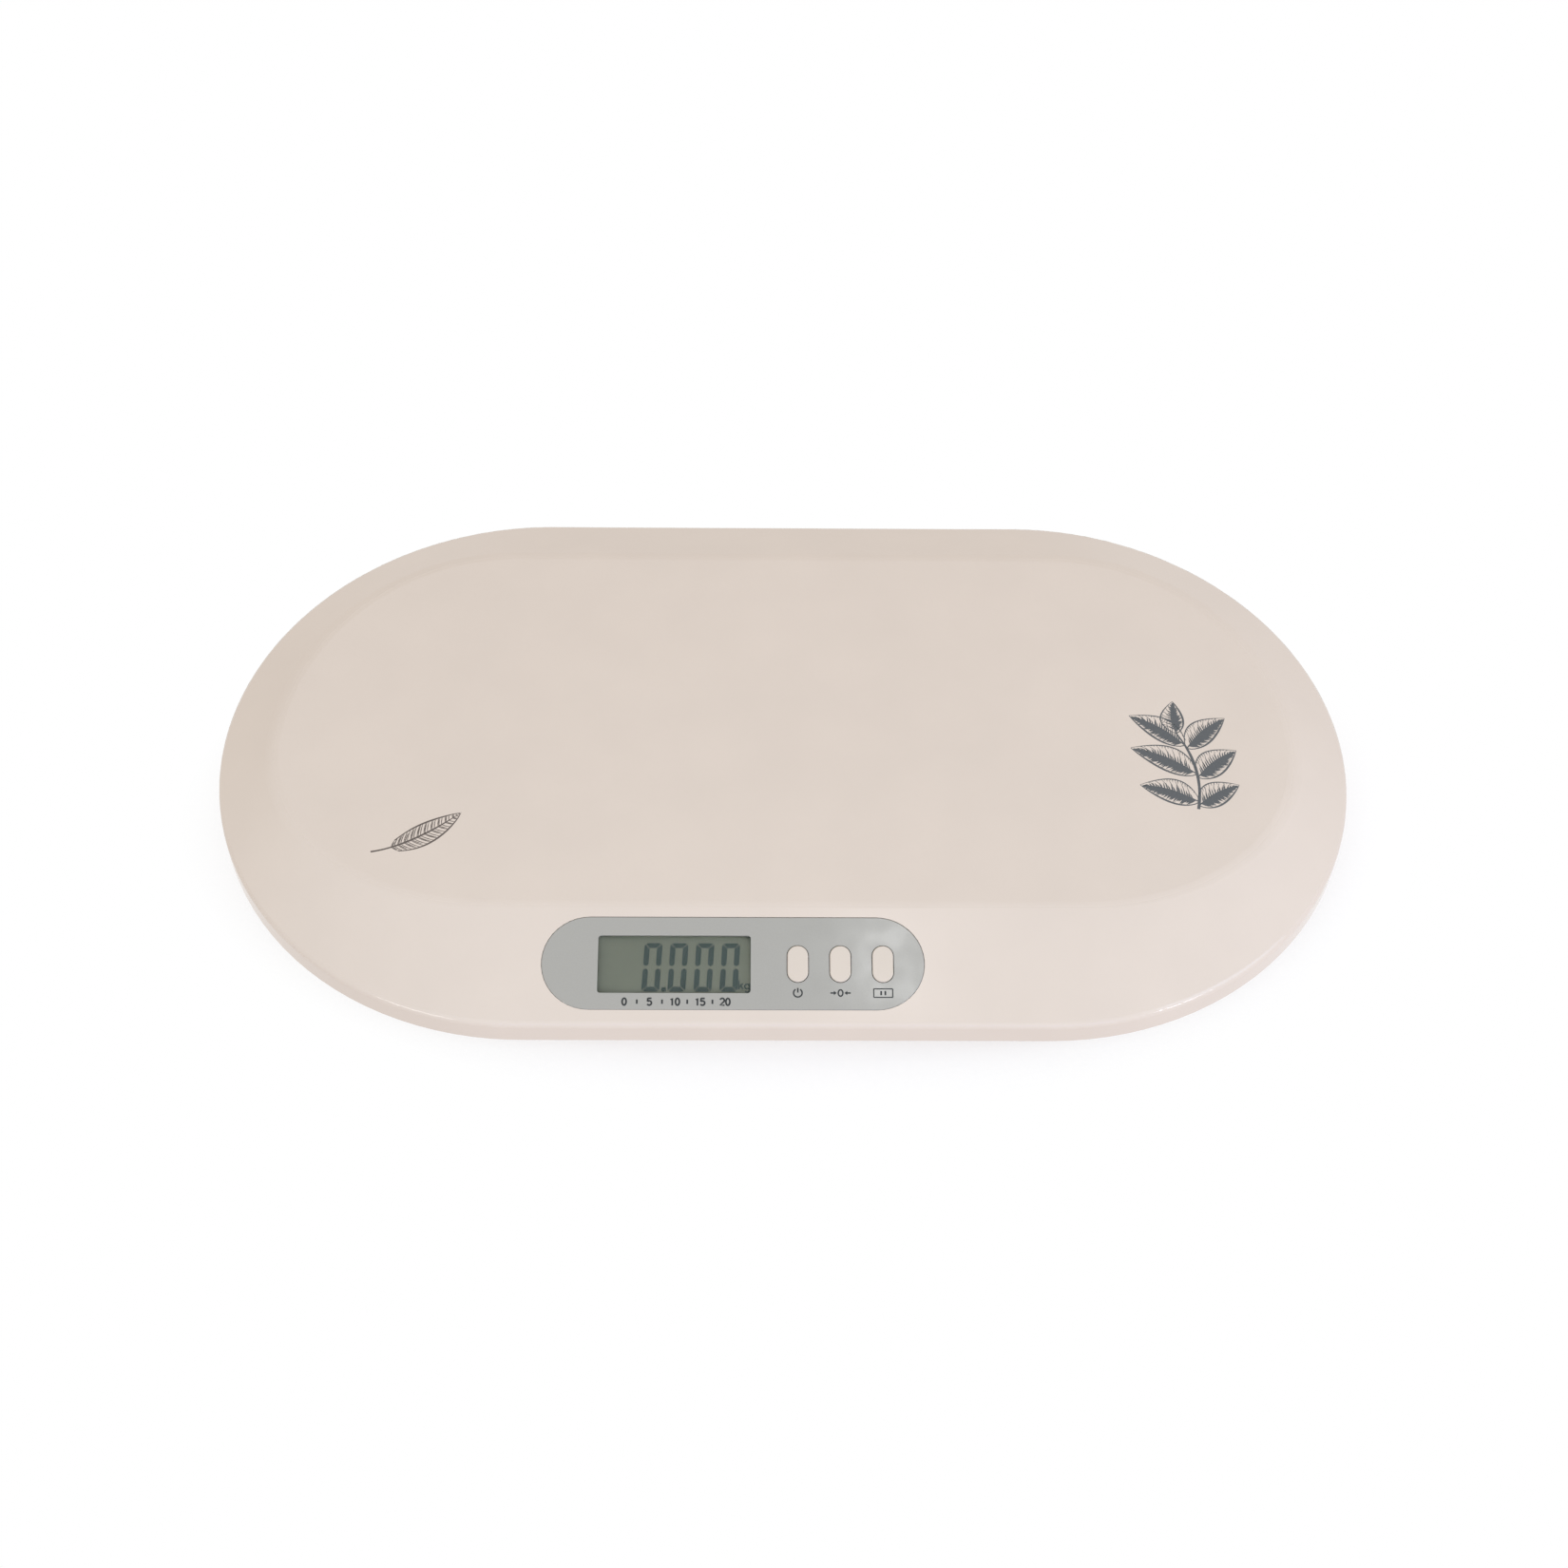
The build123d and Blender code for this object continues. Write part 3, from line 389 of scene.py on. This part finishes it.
def zebra_look():
    """Elastomer strip of thin conducting and insulating layers."""
    look = Look("zebra_rubber", IOR=1.45)
    half_pitch, half_layer = 0.25, 0.12
    layer = look.math("LESS_THAN", look.math("PINGPONG", look.axis(0), half_pitch), half_layer)
    look.set(Base_Color=look.mix(layer, srgb(225, 205, 200), srgb(30, 30, 32)))
    return look.set(Roughness=look.between(look.noise(1.5), 0.5, 0.65))


def gauge_look():
    """Uneven silicone over the strain gauges."""
    look = rubber("gauge_silicone", srgb(228, 226, 218), 0.4)
    return look.bump(look.noise(4, 1.0), 0.15)


def lead_look():
    """Smooth cable sheath with faint scuffs."""
    look = Look("lead_black", IOR=1.5)
    scuff = look.noise(3, 5.0, (1, 1, 0.4))
    look.set(Base_Color=look.ramp(scuff, [(0.4, srgb(38, 38, 40)), (0.75, srgb(62, 62, 64))]))
    look.set(Roughness=look.between(scuff, 0.38, 0.55))
    return look.bump(look.noise(0.8, 2.0), 0.01)


PAD_RING = 1.2


def pad_look():
    """Rubber foot with moulded rings."""
    look = rubber("pad_rubber", srgb(92, 92, 94))
    nearest = None
    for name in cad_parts:
        if name.startswith("foot_pad_"):
            low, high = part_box(name)
            centre = ((low.x + high.x) / 2, (low.y + high.y) / 2, 0)
            away = look.add("VectorMath", {"operation": "SUBTRACT"}, _0=look.place, _1=centre).outputs[0]
            far = look.add("VectorMath", {"operation": "LENGTH"}, _0=away).outputs["Value"]
            nearest = look.math("MINIMUM", nearest, far) if nearest else far
    wave = look.math("PINGPONG", look.math("MULTIPLY", nearest, 1 / MM), PAD_RING)
    return look.bump(look.between(wave, 0.0, 1.0, 0.25, 0.6), 0.25)


LOOKS = {
    "top_tray": platform_look(),
    "bottom_base": plastic("base_white", PLATFORM, 0.5, grain=0.7, grain_depth=0.02),
    "battery_door": plastic("door_white", PLATFORM, 0.5, grain=0.7, grain_depth=0.02),
    "display_panel": panel_look(),
    "display_lens": lens_look(),
    "lcd_gasket": rubber("gasket_black", srgb(34, 35, 36), 0.85),
    "lcd_glass": lcd_look(),
    "lcd_holder": plastic("holder_white", srgb(232, 230, 224), 0.45),
    "zebra_strips": zebra_look(),
    "main_board": board_look(),
    "board_connectors": plastic("connector_white", srgb(236, 232, 220), 0.35),
    "board_screws": metal("board_screw_steel", srgb(188, 188, 186), 0.3),
    "case_screws": metal("screw_steel", srgb(176, 176, 176), 0.32),
    "battery_contacts": metal("contact_nickel", srgb(206, 202, 192), 0.24, (1, 0.2, 1)),
    "gauge_coatings": gauge_look(),
    "battery_lead": lead_look(),
    "battery_1": battery_look("battery_1"),
    "battery_2": battery_look("battery_2"),
    "battery_3": battery_look("battery_3"),
}
KINDS = {
    "button_": plastic("button_white", KEY, 0.2, grain=0.4, grain_depth=0.004),
    "plunger_": plastic("plunger_black", srgb(40, 40, 42), 0.4),
    "switch_": plastic("switch_black", srgb(52, 52, 56), 0.45),
    "foot_pad_": pad_look(),
    "foot_cup_": plastic("cup_white", srgb(224, 218, 210), 0.45),
    "cell_frame_": plastic("frame_white", srgb(226, 222, 214), 0.45),
    "load_cell_": metal("cell_steel", srgb(196, 194, 188), 0.3, (0.15, 1, 1)),
    "cell_lead_": LOOKS["battery_lead"],
}


def finish_nodes():
    """Each CAD node gets its look by its name or by how its name starts."""
    for name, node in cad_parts.items():
        look = LOOKS.get(name) or next(kind for start, kind in KINDS.items() if name.startswith(start))
        node.data.materials.clear()
        node.data.materials.append(look.material)


finish_nodes()


# ---- Floor -----------------------------------------------------------------------------
FLOOR_RADIUS = 12.0
FLOOR_PAPER = (0.965, 0.975, 1.0, 1)
FLOOR_SHOWN = 0.5  # the plain white share of the floor's look under the object, the rest is lit
FLOOR_FADE = (0.93, 1.12)  # between these shares of the object's half length and width it rises to one
FLOOR_SHIFT = (-0.03, 0.05, 0)  # the shadow lies a little to the front and right


def floor_look():
    """Paper that takes a soft shadow round the object and is plain white further out."""
    look = Look("floor_paper", Base_Color=FLOOR_PAPER, Roughness=0.9, Specular_IOR_Level=0.0)
    scale = (1 / cad_box[1].x, 1 / cad_box[1].y, 0)
    place = look.add("Mapping", Vector=look.place, Location=FLOOR_SHIFT, Scale=scale).outputs[0]
    far = look.add("VectorMath", {"operation": "LENGTH"}, _0=place).outputs["Value"]
    plain = look.math("MULTIPLY", seen_directly(look.tree), look.between(far, FLOOR_SHOWN, 1.0, *FLOOR_FADE))
    white = look.add("Emission").outputs[0]
    paper = look.add("MixShader", _0=plain, _1=look.shader.outputs[0], _2=white).outputs[0]
    # Seen from below, and for the light under the object, the floor isn't there.
    below = look.add("NewGeometry").outputs["Backfacing"]
    unseen = any_ray(look.tree, ("Is Shadow Ray", "Is Diffuse Ray"), below)
    clear = look.add("BsdfTransparent").outputs[0]
    return look.show(look.add("MixShader", _0=unseen, _1=paper, _2=clear).outputs[0])


def add_floor():
    mesh = bpy.data.meshes.new("floor")
    floor = bpy.data.objects.new("floor", mesh)
    form = bmesh.new()
    bmesh.ops.create_circle(form, cap_ends=True, radius=FLOOR_RADIUS, segments=96)
    form.to_mesh(mesh)
    form.free()
    mesh.materials.append(floor_look().material)
    scene.collection.objects.link(floor)


add_floor()


# ---- Flat printed, display and grip pieces: sizes in millimetres -----------------------
# Planes to draw on: the front slope with Y uphill, the deck, and the battery cover's outside with Y to the front.
SLOPE_HEIGHT, SLOPE_DEPTH = 16.1, 55.9
SLOPE_FOOT = (0, cad_box[0].y, (DECK_HEIGHT - SLOPE_HEIGHT) * MM)
SLOPE = Matrix.Translation(SLOPE_FOOT) @ Matrix.Rotation(math.atan2(SLOPE_HEIGHT, SLOPE_DEPTH), 4, "X")
DECK = Matrix.Translation((0, 0, DECK_HEIGHT * MM))
COVER = Matrix.Translation((0, 0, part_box("battery_door")[0].z)) @ Matrix.Rotation(math.pi, 4, "X")
INK_LIFT = 0.008  # ink starts this far above the surface
INK_THICKNESS = 0.03
INK_STEP, INK_STEPS = 0.0006, 50  # strokes that cross lie on each other, not in one plane


def add_piece(name, shapes, plane, base, thickness, look, body="housing"):
    """One thin closed piece on a plane from flat shapes: rows of left and right points, or filled outlines."""
    form = bmesh.new()

    def corner(point, z):
        return form.verts.new(plane @ Vector((point[0] * MM, point[1] * MM, z * MM)))

    for i, (kind, points) in enumerate(shapes):
        top = base + thickness + INK_STEP * (i % INK_STEPS)
        if kind == "fill":
            low = [corner(p, base) for p in points]
            high = [corner(p, top) for p in points]
            form.faces.new(high)
            form.faces.new(low[::-1])
            for j in range(len(points)):
                form.faces.new((low[j - 1], low[j], high[j], high[j - 1]))
        else:
            rows = [[corner(p, z) for z in (base, top) for p in pair] for pair in points]
            pairs = list(zip(rows, rows[1:]))
            if kind == "ring":
                pairs.append((rows[-1], rows[0]))
            else:
                for row in (rows[0], rows[-1]):
                    form.faces.new((row[0], row[1], row[3], row[2]))
            for a, b in pairs:
                for j, k in ((0, 1), (1, 3), (3, 2), (2, 0)):
                    form.faces.new((a[j], a[k], b[k], b[j]))
    bmesh.ops.recalc_face_normals(form, faces=form.faces)
    mesh = bpy.data.meshes.new(name)
    form.to_mesh(mesh)
    form.free()
    mesh.materials.append(look.material)
    piece = bpy.data.objects.new(name, mesh)
    scene.collection.objects.link(piece)
    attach(piece, body)
    return piece


def stroke(points, width, ring=False, taper=None):
    """A line of the given width; taper gives the width's share at each end."""
    points = [Vector(p) for p in points]
    count = len(points)
    rows = []
    for i, point in enumerate(points):
        before = points[i - 1] if i or ring else point
        after = points[(i + 1) % count] if i < count - 1 or ring else point
        along = (after - before).normalized()
        half = width / 2
        if taper:
            t = i / (count - 1)
            start, end = taper
            swell = math.sin(math.pi * t) ** 0.6
            half *= max(swell, start * (1 - t) + end * t)
        side = Vector((-along.y, along.x)) * half
        rows.append((point + side, point - side))
    return ("ring" if ring else "line", rows)


def arc(centre, radius, start, end, count=24, squeeze=1.0):
    """Points on an arc between two angles in degrees; squeeze narrows it along X."""
    return [
        (
            centre[0] + radius * squeeze * math.cos(math.radians(start + (end - start) * i / (count - 1))),
            centre[1] + radius * math.sin(math.radians(start + (end - start) * i / (count - 1))),
        )
        for i in range(count)
    ]


def oval(centre, radius, squeeze=1.0, count=24):
    """The points of a whole ring, for a ring stroke."""
    return arc(centre, radius, 0, 360 - 360 / count, count, squeeze)


def curve(start, handle, end, count=12):
    """Points on a curve that leaves start towards handle and arrives at end from it."""
    a, b, c = Vector(start), Vector(handle), Vector(end)
    return [a.lerp(b, t).lerp(b.lerp(c, t), t) for t in (i / (count - 1) for i in range(count))]


# ---- Display figures: four zeros, the point and the unit -------------------------------
DIGITS, DIGIT_LEFT, DIGIT_BOTTOM, DIGIT_PITCH = 4, -65.8, 16.8, 11.85
DIGIT_WIDTH, DIGIT_HEIGHT, DIGIT_BAR, DIGIT_SLANT = 8.3, 23.1, 2.5, math.tan(math.radians(3.1))
DIGIT_GAP, DIGIT_CORNER = 0.16, 1.2
DIGIT_SHOULDER, DIGIT_TIP = 1.4, 0.5  # where the upright bars' pointed ends start and stop, from the middle
POINT_GAP, POINT_SIZE = 0.9, 2.1
UNIT_LEFT, UNIT_BOTTOM, UNIT_BAR = -21.3, 18.0, 0.75
LCD_DEPTH = 2.5


def digit_zero(left):
    """The six lit bars of a zero, with cut corners and thin gaps where they meet."""
    w, h, b, g, c = DIGIT_WIDTH, DIGIT_HEIGHT, DIGIT_BAR, DIGIT_GAP, DIGIT_CORNER
    flat = [
        (c / 2 + g, h - c / 2 + g),
        (c + g, h),
        (w - c - g, h),
        (w - c / 2 - g, h - c / 2 + g),
        (w - b, h - b + g),
        (b, h - b + g),
    ]
    upright = [
        (0, h - c),
        (c / 2 - g, h - c / 2 - g),
        (b, h - b - g),
        (b, h / 2 + DIGIT_SHOULDER),
        (b / 2, h / 2 + DIGIT_TIP),
        (0, h / 2 + DIGIT_SHOULDER),
    ]
    bars = [flat, upright, [(w - x, y) for x, y in upright]]
    bars += [[(x, h - y) for x, y in bar] for bar in bars]
    return [("fill", [(left + x + y * DIGIT_SLANT, DIGIT_BOTTOM + y) for x, y in bar]) for bar in bars]


def unit_kg(left, low):
    """k: a stem and two arms. g: a bowl, its stem and the tail."""
    strokes = [
        [(left, low), (left, low + 4.2)],
        [(left + 0.2, low + 1.2), (left + 1.8, low + 2.75)],
        [(left + 0.8, low + 1.65), (left + 1.95, low)],
        oval((left + 3.75, low + 1.35), 1.1),
        [(left + 4.85, low + 2.75), (left + 4.85, low - 0.3)],
        arc((left + 3.8, low - 0.3), 1.05, 0, -150),
    ]
    bowl = 3
    return [stroke(points, UNIT_BAR, ring=i == bowl) for i, points in enumerate(strokes)]


def lcd_figures():
    shapes = []
    for i in range(DIGITS):
        shapes += digit_zero(DIGIT_LEFT + i * DIGIT_PITCH)
    left, low = DIGIT_LEFT + DIGIT_WIDTH + POINT_GAP, DIGIT_BOTTOM
    right, high = left + POINT_SIZE, low + POINT_SIZE
    shapes.append(("fill", [(left, low), (right, low), (right, high), (left, high)]))
    shapes += unit_kg(UNIT_LEFT, UNIT_BOTTOM)
    segments = ink("lcd_segment", srgb(50, 58, 55)).set(Specular_IOR_Level=0.2)
    add_piece("lcd_figures", shapes, SLOPE, -LCD_DEPTH + INK_LIFT, INK_THICKNESS, segments)


lcd_figures()


# ---- Pictograms under the keys and a plain number scale under the window ---------------
KEY_X = (5.5, 24.9, 44.3)
MARK_Y, MARK_LINE = 15.7, 0.65
POWER_RADIUS, POWER_STEM_LOW, POWER_STEM_HIGH = 1.95, 0.15, 2.35
TARE_RADIUS, TARE_SQUEEZE = 1.5, 0.7
ARROW_TIP, ARROW_WING, ARROW_TAIL, ARROW_SPREAD = 1.75, 3.05, 4.6, 1.0
HOLD_HALF_WIDTH, HOLD_HALF_HEIGHT, HOLD_LINE = 4.3, 2.0, 0.5
HOLD_BAR_X, HOLD_BAR_REACH, HOLD_BAR_LINE = 0.95, 1.0, 0.8
SCALE_START, SCALE_STEP, SCALE_Y, SCALE_LINE, TICK_REACH = -73.2, 11.425, 11.4, 0.8, 1.0
SCALE_NUMBERS, NUMBER_HEIGHT, NUMBER_PITCH = ("0", "5", "10", "15", "20"), 3.5, 2.55


def number_forms():
    """The figures of the scale as pen strokes, one unit high."""
    line = SCALE_LINE / NUMBER_HEIGHT
    return {
        "0": [stroke(oval((0, 0), 0.46, 0.56), line, ring=True)],
        "1": [stroke([(-0.16, 0.26), (0.06, 0.46), (0.06, -0.5)], line)],
        "2": [stroke(arc((0, 0.2), 0.27, 165, -35, 12) + [(-0.27, -0.45), (0.3, -0.45)], line)],
        "5": [
            stroke([(0.27, 0.45), (-0.2, 0.45)], line),
            stroke([(-0.2, 0.5), (-0.24, 0.02)], line),
            stroke(arc((-0.02, -0.17), 0.29, 140, -150, 16), line),
        ],
    }


def number(text, x, y, forms):
    """A number centred on a point."""
    shapes = []
    for i, figure in enumerate(text):
        middle = Vector((x + (i - (len(text) - 1) / 2) * NUMBER_PITCH, y))
        for kind, rows in forms[figure]:
            shapes.append((kind, [[middle + point * NUMBER_HEIGHT for point in pair] for pair in rows]))
    return shapes


def upright_line(x, y, reach, width):
    """A stroke that goes up and down from a point."""
    return stroke([(x, y - reach), (x, y + reach)], width)


def panel_marks():
    power, tare, hold = KEY_X
    shapes = [
        stroke(arc((power, MARK_Y), POWER_RADIUS, 122, 418), MARK_LINE),
        stroke([(power, MARK_Y + POWER_STEM_LOW), (power, MARK_Y + POWER_STEM_HIGH)], MARK_LINE),
        stroke(oval((tare, MARK_Y), TARE_RADIUS, TARE_SQUEEZE), MARK_LINE, ring=True),
    ]
    for side in (-1, 1):
        tip, wing, tail = (tare + side * reach for reach in (ARROW_TIP, ARROW_WING, ARROW_TAIL))
        shapes.append(stroke([(wing, MARK_Y), (tail, MARK_Y)], MARK_LINE))
        shapes.append(("fill", [(tip, MARK_Y), (wing, MARK_Y + ARROW_SPREAD), (wing, MARK_Y - ARROW_SPREAD)]))
    corners = [
        (hold + x * HOLD_HALF_WIDTH, MARK_Y + y * HOLD_HALF_HEIGHT) for x, y in ((-1, -1), (1, -1), (1, 1), (-1, 1))
    ]
    shapes += [stroke((corners[i - 1], corners[i]), HOLD_LINE) for i in range(4)]
    for side in (-1, 1):
        shapes.append(upright_line(hold + side * HOLD_BAR_X, MARK_Y, HOLD_BAR_REACH, HOLD_BAR_LINE))
    forms = number_forms()
    for i, text in enumerate(SCALE_NUMBERS):
        x = SCALE_START + i * SCALE_STEP
        shapes += number(text, x, SCALE_Y, forms)
        if i < len(SCALE_NUMBERS) - 1:
            shapes.append(upright_line(x + SCALE_STEP / 2, SCALE_Y, TICK_REACH, SCALE_LINE))
    add_piece("panel_marks", shapes, SLOPE, INK_LIFT, INK_THICKNESS, ink("panel_ink", srgb(38, 41, 43)))


panel_marks()


# ---- Pen-drawn motifs on the deck ------------------------------------------------------
STEM_PEN, EDGE_PEN, SHADED_EDGE_PEN, MIDRIB_PEN, VEIN_PEN = 1.5, 0.6, 1.0, 0.7, 0.34
SHADE_PEN, LIGHT_PEN, FLECK_PEN = 1.25, 0.6, 0.5
VEIN_PAIRS = 7
SHADE_PER_MM = 1.25  # shading strokes on each millimetre of a leaf


def leaf(base, tip, width, side, rng):
    """A leaf in pen strokes: outline, midrib, veins, a shaded half and a lit half."""
    base, tip = Vector(base), Vector(tip)
    along = tip - base
    length = along.length
    along.normalize()
    across = Vector((-along.y, along.x)) * side

    def at(t, u):
        """A point at share t along the leaf and share u of its half width across."""
        swell = math.sin(math.pi * min(1.0, t ** 0.8)) ** 0.9
        bend = 0.07 * length * math.sin(math.pi * t)
        return base + along * (t * length) + across * (u * swell * width / 2 + bend)

    shapes = []
    for u, pen in ((1, EDGE_PEN), (-1, SHADED_EDGE_PEN)):
        shapes.append(stroke([at(i / 20, u) for i in range(21)], pen, taper=(0.5, 0.25)))
    shapes.append(stroke([at(0.97 * i / 16, 0) for i in range(17)], MIDRIB_PEN, taper=(0.9, 0.15)))
    for i in range(VEIN_PAIRS):
        t = 0.16 + 0.1 * i
        for u in (0.92, -0.92):
            vein = [at(t, 0), at(t + 0.05, u * 0.5), at(t + 0.13, u)]
            shapes.append(stroke(vein, VEIN_PEN, taper=(0.7, 0.2)))
    # The shaded half: close strokes that start at the midrib and thin out towards the edge.
    count = int(length * SHADE_PER_MM)
    for i in range(count):
        t = 0.07 + 0.84 * (i + 0.5) / count
        reach = 0.68 + 0.3 * rng.random()
        hatch = [at(t, -0.02), at(t + 0.03, -reach * 0.5), at(t + 0.07, -reach)]
        shapes.append(stroke(hatch, SHADE_PEN, taper=(1.0, 0.1)))
    # The lit half: finer strokes from the midrib and short flecks at the edge.
    count //= 2
    for i in range(count):
        t = 0.1 + 0.78 * (i + 0.5) / count
        reach = 0.3 + 0.3 * rng.random()
        hatch = [at(t, 0.0), at(t + 0.03, reach * 0.5), at(t + 0.06, reach)]
        shapes.append(stroke(hatch, LIGHT_PEN, taper=(1.0, 0.1)))
        fleck = [at(t + 0.02, 0.97), at(t, 0.92 - 0.25 * rng.random())]
        shapes.append(stroke(fleck, FLECK_PEN, taper=(0.9, 0.1)))
    return shapes


STEM_POINTS = 24
LEAVES = (  # share of the stem where it starts, tip, width and the side it bends to
    (0.08, (217.5, -28.5), 13.5, 1),
    (0.12, (170.0, -28.5), 14.0, -1),
    (0.42, (218.4, -7.5), 14.5, 1),
    (0.46, (167.5, -6.0), 14.5, -1),
    (0.80, (215.0, 12.5), 13.5, 1),
    (0.84, (168.5, 14.0), 13.5, -1),
    (1.00, (190.5, 23.0), 11.0, 1),
)


def sprig():
    """A stem with seven leaves at the right end of the deck."""
    rng = random.Random(11)
    stem = curve((196.5, -43.0), (202, -18), (190.5, 3.0), STEM_POINTS)
    shapes = [stroke(stem, STEM_PEN, taper=(1.0, 0.5))]
    for share, tip, width, side in LEAVES:
        shapes += leaf(stem[int(share * (STEM_POINTS - 1))], tip, width, side, rng)
    add_piece("deck_sprig", shapes, DECK, INK_LIFT, INK_THICKNESS, ink("deck_ink", srgb(84, 88, 91)))


SHAFT_POINTS, SHAFT_BARE = 28, 7  # points of the shaft, and how many of them are stalk
VANE_REACH = 5.8
SHAFT_PEN, VANE_PEN, VANE_EDGE_PEN = 1.05, 0.4, 0.9


def vaned_leaf():
    """A small slender leaf with close curved veins at the left end of the deck."""
    rng = random.Random(5)
    last = SHAFT_POINTS - 1
    shaft = curve((-193.5, -69.5), (-176, -66.5), (-153.5, -47.0), SHAFT_POINTS)
    shapes = [stroke(shaft, SHAFT_PEN, taper=(0.9, 0.25))]
    for side in (-1, 1):
        edge = []
        for i in range(SHAFT_BARE, SHAFT_POINTS):
            t = (i - SHAFT_BARE) / (last - SHAFT_BARE)
            along = (shaft[min(last, i + 1)] - shaft[i - 1]).normalized()
            across = Vector((-along.y, along.x)) * side
            reach = VANE_REACH * math.sin(math.pi * min(1.0, 0.08 + 0.92 * t) ** 0.75) ** 0.8 + 0.1
            foot, tip = shaft[i], shaft[i] + across * reach + along * (0.75 * reach)
            edge.append(tip)
            for k in range(1 + i % 2):
                start = foot + along * (0.55 * k)
                short = 1 - 0.25 * rng.random() * k
                end = start + (tip - foot) * short
                middle = start + across * reach * 0.45 * short + along * (0.2 * reach)
                shapes.append(stroke(curve(start, middle, end, 7), VANE_PEN, taper=(0.8, 0.3)))
        shapes.append(stroke(edge, VANE_EDGE_PEN, taper=(0.6, 0.4)))
    add_piece("deck_feather", shapes, DECK, INK_LIFT, INK_THICKNESS, ink("deck_fine_ink", srgb(92, 84, 80)))


sprig()
vaned_leaf()


# ---- Moulded grip ridges and a pointer on the battery cover, in front of its latch -----
GRIP_RIDGES, GRIP_START, GRIP_PITCH, GRIP_HALF, GRIP_LINE = 5, 6.0, 1.9, 7, 0.9
POINTER_HALF, POINTER_TIP, POINTER_BACK = 3.2, 16.0, 20.5
GRIP_SUNK, GRIP_HEIGHT = 0.05, 0.5


def door_grip():
    latch = -box_mm("battery_door")[1].y
    shapes = []
    for i in range(GRIP_RIDGES):
        y = latch + GRIP_START + GRIP_PITCH * i
        shapes.append(stroke([(-GRIP_HALF, y), (GRIP_HALF, y)], GRIP_LINE))
    back, tip = latch + POINTER_BACK, latch + POINTER_TIP
    shapes.append(("fill", [(-POINTER_HALF, back), (POINTER_HALF, back), (0, tip)]))
    look = LOOKS["battery_door"]
    grip = add_piece("door_grip", shapes, COVER, -GRIP_SUNK, GRIP_HEIGHT, look, "battery_cover")


door_grip()
